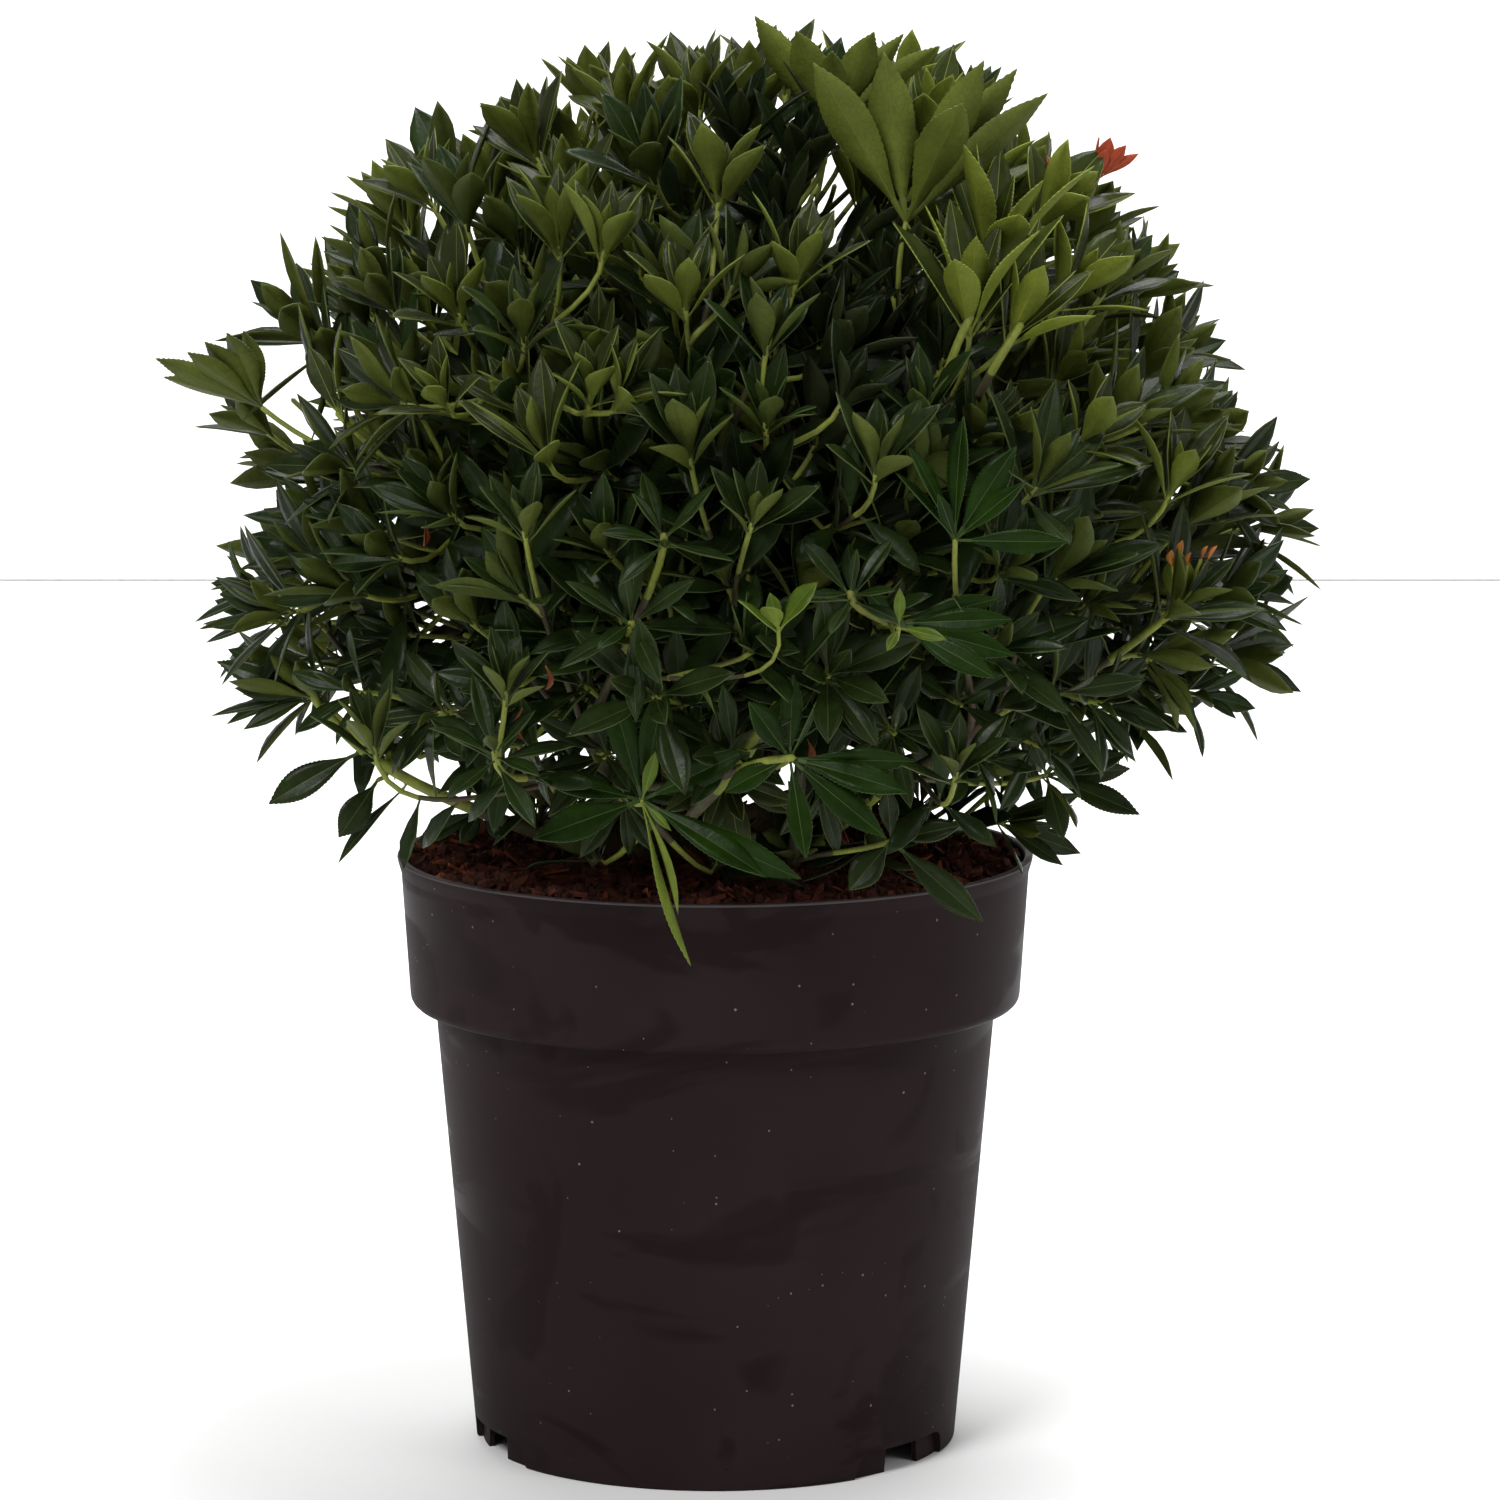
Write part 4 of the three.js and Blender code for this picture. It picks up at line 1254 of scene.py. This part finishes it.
def make_twigs(shoots, stems):
    """One piece of stem and twigs for each mass: old wood inside and green wood at the tips."""
    looks = [
        twig_look("twig_old", (0.06, 0.055, 0.02), (0.05, 0.03, 0.017)),
        twig_look("twig_young", (0.2, 0.235, 0.028), (0.15, 0.165, 0.028)),
    ]
    for own, mass in enumerate(MASSES):
        joined = Joined()
        first = mass.radius * BOUGH_TAPER
        joined.add(*tube(stems[own], [first, first * 0.85, STEM_TIP_RADIUS], 10, 16))
        for shoot in (s for s in shoots if s.mass == own):
            foot = twig_radius(shoot.load) * shoot.stout
            tip = TWIG_TIP_RADIUS * (0.6 if shoot.tint == "red" else shoot.stout)
            radii = [foot, lerp(foot, tip, 0.7), tip, tip]
            steps = max(5, int(shoot.curve.length / 7))
            add_twig(joined, shoot.curve, radii, 7, steps, 1 - YOUNG_WOOD / shoot.curve.length)
        for handles, radii in STEMS:
            if nearest_mass(vector(*handles[-1])) == own:
                add_twig(joined, Curve(*handles), radii, 10, 14, 0.3)
        joined.piece(f"twigs_{mass.name}", looks, replaces=[f"foliage_{mass.name}"], slot="foliage")


# The leaves


@dataclass
class Leaves:
    """Where each leaf of one kind grows, and its form: its length and width, and how many degrees
    it bends back, folds up and twists by."""

    rows: list = field(default_factory=list)

    def add(self, root, along, face, length, width, bend, fold, twist):
        self.rows.append((*root, *along, *face, length, width, bend, fold, twist))

    def columns(self):
        table = np.array(self.rows)
        angles = np.radians(table[:, 11:])
        return table[:, 0:3], table[:, 3:6], table[:, 6:9], table[:, 9], table[:, 10], *angles.T


def leaf_outline(share):
    """Half the width of a leaf along its length, 1 at its widest: a stalk, then a lance shape."""
    base, end = LEAF_BASE, LEAF_END
    peak = base / (base + end)
    blade = share**base * (1 - share) ** end / (peak**base * (1 - peak) ** end)
    return np.maximum(blade, STALK_SHARE * (share < 0.5))


PLAIN_ROWS = np.array([0, 0.14, 0.36, 0.6, 0.82])
FINE_ROWS = np.array([0, 0.14, 0.28, 0.42, 0.56, 0.7, 0.82, 0.92])
TOOTHED_ROWS = np.concatenate([[0, 0.14, 0.24], np.linspace(0.32, 0.97, 34)])
BEND_STEPS = 120
UPPER, UNDER, EDGE = 0, 1, 2


def leaf_pattern(rows, fine):
    """The faces of one leaf: strips above and below, the rib among them, and a sloping edge wall.
    The tip is the last point, and the stalk's cut end is closed."""
    above, below = (6, 4) if fine else (3, 3)
    stride = above + below
    tip = len(rows) * stride
    quads, quad_slots, ends, end_slots = [], [], [], []

    def strip(a, b, slot):
        for row in range(len(rows) - 1):
            i = row * stride
            quads.append((i + a, i + b, i + stride + b, i + stride + a))
            quad_slots.append(EDGE if row == 0 else slot)
        i = (len(rows) - 1) * stride
        ends.append((i + a, i + b, tip))
        end_slots.append(slot)

    for column in range(above - 1):
        strip(column + 1, column, EDGE if fine and column == 2 else UPPER)
    for column in range(above, stride - 1):
        strip(column, column + 1, EDGE if fine and column == above + 1 else UNDER)
    strip(0, above, EDGE)
    strip(stride - 1, above - 1, EDGE)
    fan = list(range(1, above)) + list(range(stride - 1, above - 1, -1))
    ends += [(0, fan[k], fan[k + 1]) for k in range(len(fan) - 1)]
    end_slots += [EDGE] * (len(fan) - 1)
    return np.array(quads), np.array(quad_slots), np.array(ends), np.array(end_slots)


def leaf_points(leaves, rows, fine):
    """The corners of many leaves at once: each bends back, folds up along its rib and twists."""
    root, along, face, length, width, bend, fold, twist = leaves.columns()
    side = np.cross(along, face)
    n = len(length)
    shares = np.append(rows, 1.0)
    half = np.outer(width / 2, leaf_outline(shares))
    if len(rows) > len(FINE_ROWS):
        half[:, 4:-1:2] += TOOTH
    half[:, -1] = 0
    angle = bend[:, None] * np.linspace(0, 1, BEND_STEPS + 1)[None] ** 1.3
    ahead = np.cumsum(np.cos(angle), 1) / BEND_STEPS
    sink = np.cumsum(np.sin(angle), 1) / BEND_STEPS
    ahead, sink = ahead - ahead[:, :1], sink - sink[:, :1]
    picks = (shares * BEND_STEPS).round().astype(int)
    ahead, sink, angle = ahead[:, picks], sink[:, picks], angle[:, picks]
    spin = twist[:, None] * shares[None]
    slope = np.tan(fold)[:, None]
    inset = np.minimum(MARGIN_WIDTH, half * 0.45)
    rib = np.minimum(RIB_HALF_WIDTH * (1 - 0.6 * shares)[None], half * 0.3)
    zero = np.zeros_like(half)
    edge = half - inset
    if fine:
        laterals = [-edge, -edge * 0.52, -rib, rib, edge * 0.52, edge]
        bulges = [zero, half * 0.075, zero, zero, half * 0.075, zero]
        below, drops = [-half, -rib, rib, half], [0, KEEL, KEEL, 0]
    else:
        laterals, bulges = [-edge, zero, edge], [zero, zero, zero]
        below, drops = [-half, zero, half], [0, 0, 0]
    tops = [(y, np.abs(y) * slope + b + LEAF_THICKNESS / 2) for y, b in zip(laterals, bulges)]
    unders = [(y, np.abs(y) * slope - d - LEAF_THICKNESS / 2) for y, d in zip(below, drops)]
    columns = tops + unders
    lateral = np.stack([c[0] for c in columns], -1)
    height = np.stack([c[1] for c in columns], -1)
    height[:, -1] = 0
    y, z = turned(lateral, height, spin[..., None])
    cos_bend, sin_bend = np.cos(angle)[..., None], np.sin(angle)[..., None]
    forward = length[:, None, None] * ahead[..., None] + z * sin_bend
    upward = -length[:, None, None] * sink[..., None] + z * cos_bend
    points = (
        root[:, None, None]
        + forward[..., None] * along[:, None, None]
        + upward[..., None] * face[:, None, None]
        + y[..., None] * side[:, None, None]
    )
    body = points[:, :-1].reshape(n, -1, 3)
    return np.concatenate([body, points[:, -1, :1]], 1)


def clears_pot(points):
    """Whether each leaf stays out of the pot's wall and off the soil."""
    radius = np.hypot(points[..., 0], points[..., 1])
    z = points[..., 2]
    inner_radius = COLLAR_TOP_RADIUS - WALL - 1.5
    wall = (radius > inner_radius) & (radius < RIM_RADIUS + 1.2) & (z < POT_HEIGHT + 1)
    inside = (radius <= inner_radius) & (z < SOIL_CROWN_Z + 1.5)
    return ~(wall | inside).any(1)


def leaf_floor(x, y):
    """How low leaves may hang: a wavy height that rises at the far right and dips before it."""
    waves = 10 * math.sin(x * 0.045 + 0.6) * math.cos(y * 0.04)
    return LEAF_FLOOR + waves + 0.75 * max(0, x - 118) - 9 * smoothstep(x, 0, 60)


def keeps_clear(shoot, root, along, length, width):
    """Whether a leaf stays out of the open space over the soil and of the openings through which
    the sky is seen. The leaves of marked shoots may stand there."""
    if shoot.marked:
        return True
    tip = root + along * length
    if min(root[2], tip[2]) <= leaf_floor(tip[0], tip[1]):
        return False
    spots = root + np.outer(np.linspace(0.1, 0.95, 6), along * length)
    level = EYE + (spots - EYE) * (EYE[1] / (EYE[1] - spots[:, 1]))[:, None]
    for x, z, radius in OPENINGS:
        if np.hypot(level[:, 0] - x, level[:, 2] - z).min() < radius + width * 0.3:
            return False
    return True


def make_leaf_pieces(name, leaves, rows, looks):
    fine = len(rows) > len(PLAIN_ROWS)
    points = leaf_points(leaves, rows, fine)
    points = points[clears_pot(points)]
    quads, quad_slots, ends, end_slots = leaf_pattern(rows, fine)
    faces_each = 2 * len(quads) + len(ends)
    most = MOST_PIECE_FACES // faces_each
    for part, start in enumerate(range(0, len(points), most)):
        chunk = points[start : start + most]
        offsets = (np.arange(len(chunk)) * chunk.shape[1])[:, None, None]
        slots = np.concatenate([np.tile(quad_slots, len(chunk)), np.tile(end_slots, len(chunk))])
        make_piece(
            f"{name}_{part + 1}",
            chunk.reshape(-1, 3),
            [(quads[None] + offsets).reshape(-1, 4), (ends[None] + offsets).reshape(-1, 3)],
            looks,
            slots,
            smooth=slots != EDGE,
            replaces=FOLIAGE_NODES,
        )


def room_behind(root, along):
    """How long a leaf may be before it reaches past the crown's back."""
    return (CROWN_BACK - root[1]) / along[1] if along[1] > 0.2 else math.inf


def grow_rays(shoot, add):
    """The leaves of a shoot that are placed one by one."""
    for k, (across, up, forward, width, turn) in enumerate(shoot.rays):
        way = vector(across, -forward, up)
        length, along = np.linalg.norm(way), unit(way)
        face = vector(*shoot.facing)
        face = rotated(unit(face - along * face.dot(along)), along, math.radians(turn))
        draw = float(seeded(shoot.seed * 89 + k, 51))
        bend, fold, twist = 6 + 12 * draw, 14, 24 * (draw - 0.5)
        level = "toothed" if width > TOOTHED_WIDTH else "fine"
        add(shoot.tint, level, shoot.curve.place(1), along, face, length, width, bend, fold, twist)


def grow_whorl(shoot, add):
    """The close whorl at a shoot's tip, with young upright leaves in its heart, and the older
    leaves behind it. The face of each leaf leans to the sky."""
    curve, seed = shoot.curve, shoot.seed
    start = 2 * math.pi * float(seeded(seed, 4))
    reference = unit(np.cross(vector(1, 0.02, 0), shoot.heading))
    near = CROWN_REACH - np.linalg.norm(shoot.tip - CROWN_CENTRE) < FINE_DEPTH
    for i in range(shoot.leaves + shoot.older):
        draw = [float(seeded(seed * 97 + i, 40 + k)) for k in range(6)]
        whorl = i < shoot.leaves
        if whorl:
            back = 0.4 + LEAF_SPACING * i
            age = i / max(1, shoot.leaves - 1)
            opening = lerp(shoot.inner, shoot.outer, age**0.8) + 10 * (draw[0] - 0.5)
            size = lerp(0.66, 1.0, min(1, age * 2.2)) * (0.86 + 0.24 * draw[1])
        else:
            back = shoot.bare + (i - shoot.leaves) * OLDER_SPACING + 5 * draw[0]
            opening = shoot.outer * 0.6 + 30 + 20 * draw[2]
            size = 0.84 + 0.2 * draw[1]
        share = 1 - back / curve.length
        if share < FIRST_LEAF_SHARE:
            continue
        root, axis = curve.place(share), curve.heading(share)
        across = unit(reference - axis * reference.dot(axis))
        across = rotated(across, axis, start + i * GOLDEN_ANGLE + 0.5 * (draw[3] - 0.5))
        angle = math.radians(opening)
        along = unit(axis * math.cos(angle) + across * math.sin(angle) + UP * 0.08)
        face = axis * math.sin(angle) - across * math.cos(angle)
        sky = UP - along * along[2]
        face = unit(face - along * face.dot(along) + sky * 0.45 * abs(math.sin(angle)))
        length = min(shoot.leaf * size, room_behind(root, along))
        width = length * shoot.slim * (0.92 + 0.16 * draw[0])
        if not keeps_clear(shoot, root, along, length, width):
            continue
        tint = shoot.tint if whorl or shoot.tint in ("fresh", "shade") else "deep"
        level = "fine" if whorl and near else "plain"
        if whorl and shoot.marked and shoot.leaf > TOOTHED_LENGTH:
            level = "toothed"
        bend, fold, twist = shoot.bend * (0.2 + 1.6 * draw[4]), 6 + 18 * draw[5], 40 * (draw[2] - 0.5)
        add(tint, level, root, along, face, length, width, bend, fold, twist)


def grow_leaves(shoots):
    """Every leaf of the shoots, gathered by its tint and by how finely it is made."""
    kinds = {}

    def add(tint, level, *form):
        kinds.setdefault((tint, level), Leaves()).add(*form)

    for shoot in shoots:
        grow_rays(shoot, add)
        grow_whorl(shoot, add)
    return kinds


# The colours of each tint's upper side, underside and edge, and the gloss where it is less
TINTS = {
    "deep": ((0.0105, 0.0205, 0.0036), (0.044, 0.058, 0.0085), (0.038, 0.06, 0.0115)),
    "lush": ((0.0082, 0.0215, 0.0018), (0.04, 0.06, 0.0065), (0.032, 0.06, 0.009)),
    # Painted shade: near-black leaves, with little gloss, for shoots deep in the crown's shadow
    "shade": ((0.0055, 0.01, 0.0022), (0.015, 0.02, 0.0035), (0.012, 0.018, 0.004)),
    "mid": ((0.013, 0.0215, 0.0046), (0.062, 0.078, 0.0108), (0.048, 0.066, 0.0125)),
    "olive": ((0.021, 0.0285, 0.0066), (0.088, 0.11, 0.0142), (0.11, 0.137, 0.021)),
    "bright": ((0.03, 0.041, 0.0078), (0.132, 0.161, 0.018), (0.185, 0.222, 0.03)),
    "fresh": ((0.052, 0.084, 0.008), (0.1, 0.135, 0.014), (0.12, 0.16, 0.021)),
    "withered": ((0.14, 0.03, 0.013), (0.17, 0.045, 0.02), (0.15, 0.05, 0.02)),
    "red": ((0.27, 0.036, 0.018), (0.36, 0.06, 0.026), (0.4, 0.1, 0.04)),
}
DULLER = {"lush": 0.06, "shade": 0.03}
ROWS = {"plain": PLAIN_ROWS, "fine": FINE_ROWS, "toothed": TOOTHED_ROWS}


def leaf_looks(name, tint):
    upper, under, edge = TINTS[tint]
    return [
        leaf_look(f"leaf_upper_{name}", upper, DULLER.get(tint, LEAF_GLOSS)),
        leaf_under_look(f"leaf_under_{name}", under),
        edge_look(f"leaf_edge_{name}", edge),
    ]


def make_leaves(shoots):
    for (tint, level), leaves in sorted(grow_leaves(shoots).items()):
        name = f"{tint}_{level}"
        make_leaf_pieces(f"leaves_{name}", leaves, ROWS[level], leaf_looks(name, tint))


def make_withered_leaves():
    leaves = Leaves()
    for i, (place, length) in enumerate(WITHERED):
        turn, lean = 2.4 * i, 0.5 + 0.4 * math.sin(3 * i)
        drop = -0.9 if place[2] > LEAF_FLOOR else -0.05
        along = unit(vector(lean * math.cos(turn), -0.3, drop))
        face = unit(np.cross(along, vector(math.cos(turn + 1.8), math.sin(turn + 1.8), 0)))
        leaves.add(vector(*place), along, face, length, length * 0.3, *WITHERED_CURL)
    make_leaf_pieces("leaves_withered", leaves, FINE_ROWS, leaf_looks("withered", "withered"))


# The orange tips of the flower buds, in the heart of one shoot at the right


def make_bud_tips(shoots):
    bearer = min(shoots, key=lambda shoot: np.linalg.norm(shoot.tip[[0, 2]] - BUD_PLACE))
    heart = bearer.tip + vector(4, -3, 15)
    leaves, stalks = Leaves(), Joined()
    tips = ((-0.5, -0.1, 7), (0.0, -0.3, 6), (0.66, 0.1, 8), (-0.2, 0.4, 8), (0.5, 0.5, 6))
    for i, (lean, back, length) in enumerate(tips):
        along = unit(vector(lean * 0.5 + 0.15, back * 0.5 - 0.15, 1))
        face = unit(np.cross(along, vector(0.8 - lean, 0.9, 0.1)))
        root = heart + vector(lean * 10, back * 7, 0.5 * i)
        leaves.add(root, along, face, length, length * 0.5, *BUD_CURL)
        rise = Curve(bearer.tip, bearer.tip + bearer.heading * 6, root - along * 5, root + along * 0.6)
        stalks.add(*tube(rise, (0.9, 0.7, 0.6), 7, 8))
    stalks.piece("bud_stalks", [edge_look("bud_stalk", (0.2, 0.235, 0.028))], replaces=FOLIAGE_NODES)
    orange = edge_look("bud_tip_orange", (0.3, 0.045, 0.008))
    yellow = edge_look("bud_tip_yellow", (0.32, 0.13, 0.018))
    make_leaf_pieces("bud_tips", leaves, FINE_ROWS, [orange, yellow, orange])
    guard = Leaves()
    along, face = unit(vector(0.1, -0.1, 1)), unit(vector(0, 1, 0.1))
    guard.add(bearer.tip + vector(0, -2, 0), along, face, *GUARD_LEAF, *GUARD_CURL)
    make_leaf_pieces("bud_leaf", guard, FINE_ROWS, leaf_looks("bud", "olive"))


# The studio: a pale floor, soft lights, and the camera of the photo


def make_floor():
    """A pale floor, and behind the object a pale backdrop that rises from it in a curve."""
    size = 60_000
    look = floor_look()
    points = [(-size, -size, 0), (size, -size, 0), (size, size, 0), (-size, size, 0)]
    make_piece("studio_floor", points, [[(0, 1, 2, 3)]], [look], slot=None)
    near, bend, half_width, steps = 2600, 3000, 12_000, 32
    angles = np.linspace(0, math.pi / 2, steps + 1)
    back, rise = near + bend * np.sin(angles), 1 + bend * (1 - np.cos(angles))
    rise[-1] += 2500
    points = [(x, y, z) for y, z in zip(back, rise) for x in (-half_width, half_width)]
    faces = [[(2 * i, 2 * i + 1, 2 * i + 3, 2 * i + 2) for i in range(steps)]]
    make_piece("studio_backdrop", points, faces, [look], slot=None)


def make_light(name, place, target, size, power):
    light = bpy.data.lights.new(name, "AREA")
    light.shape = "DISK"
    light.size = size
    light.energy = power
    lamp = bpy.data.objects.new(name, light)
    lamp.location = place
    way = unit(vector(*target) - vector(*place))
    lamp.rotation_euler = (math.acos(-way[2]), 0, math.atan2(way[0], -way[1]) + math.pi)
    bpy.context.scene.collection.objects.link(lamp)


def make_studio():
    world = bpy.data.worlds.new("studio")
    world.use_nodes = True
    background = world.node_tree.nodes["Background"]
    background.inputs["Color"].default_value = (1.0, 0.995, 0.985, 1)
    background.inputs["Strength"].default_value = 0.32
    bpy.context.scene.world = world
    target = (0, 0, 0.3)
    make_light("key", (-1.2, -2.2, 2.5), target, 1.2, 70)
    make_light("fill", (2.2, -1.6, 1.5), target, 1.6, 18)
    make_light("crown_light", (0.5, 0.1, 2.6), target, 1.4, 50)
    make_light("backdrop_light", (0, 2.2, 3.2), (0, 4.2, 0.1), 3.0, 160)
    bpy.context.scene.view_settings.view_transform = "Standard"


def make_camera():
    camera = bpy.data.cameras.new("camera")
    camera.lens = LENS
    camera.sensor_width = SENSOR_WIDTH
    camera.clip_end = 200
    holder = bpy.data.objects.new("camera", camera)
    holder.location = EYE * MM
    holder.rotation_euler = (math.pi / 2 - LOOKING_DOWN, 0, 0)
    bpy.context.scene.collection.objects.link(holder)
    bpy.context.scene.camera = holder


make_camera()
make_studio()
make_floor()
make_pot()
make_soil()
make_limbs()
shoots = crown_shoots()
stems = grow_twigs(shoots)
make_twigs(shoots, stems)
make_leaves(shoots)
make_withered_leaves()
make_bud_tips(shoots)
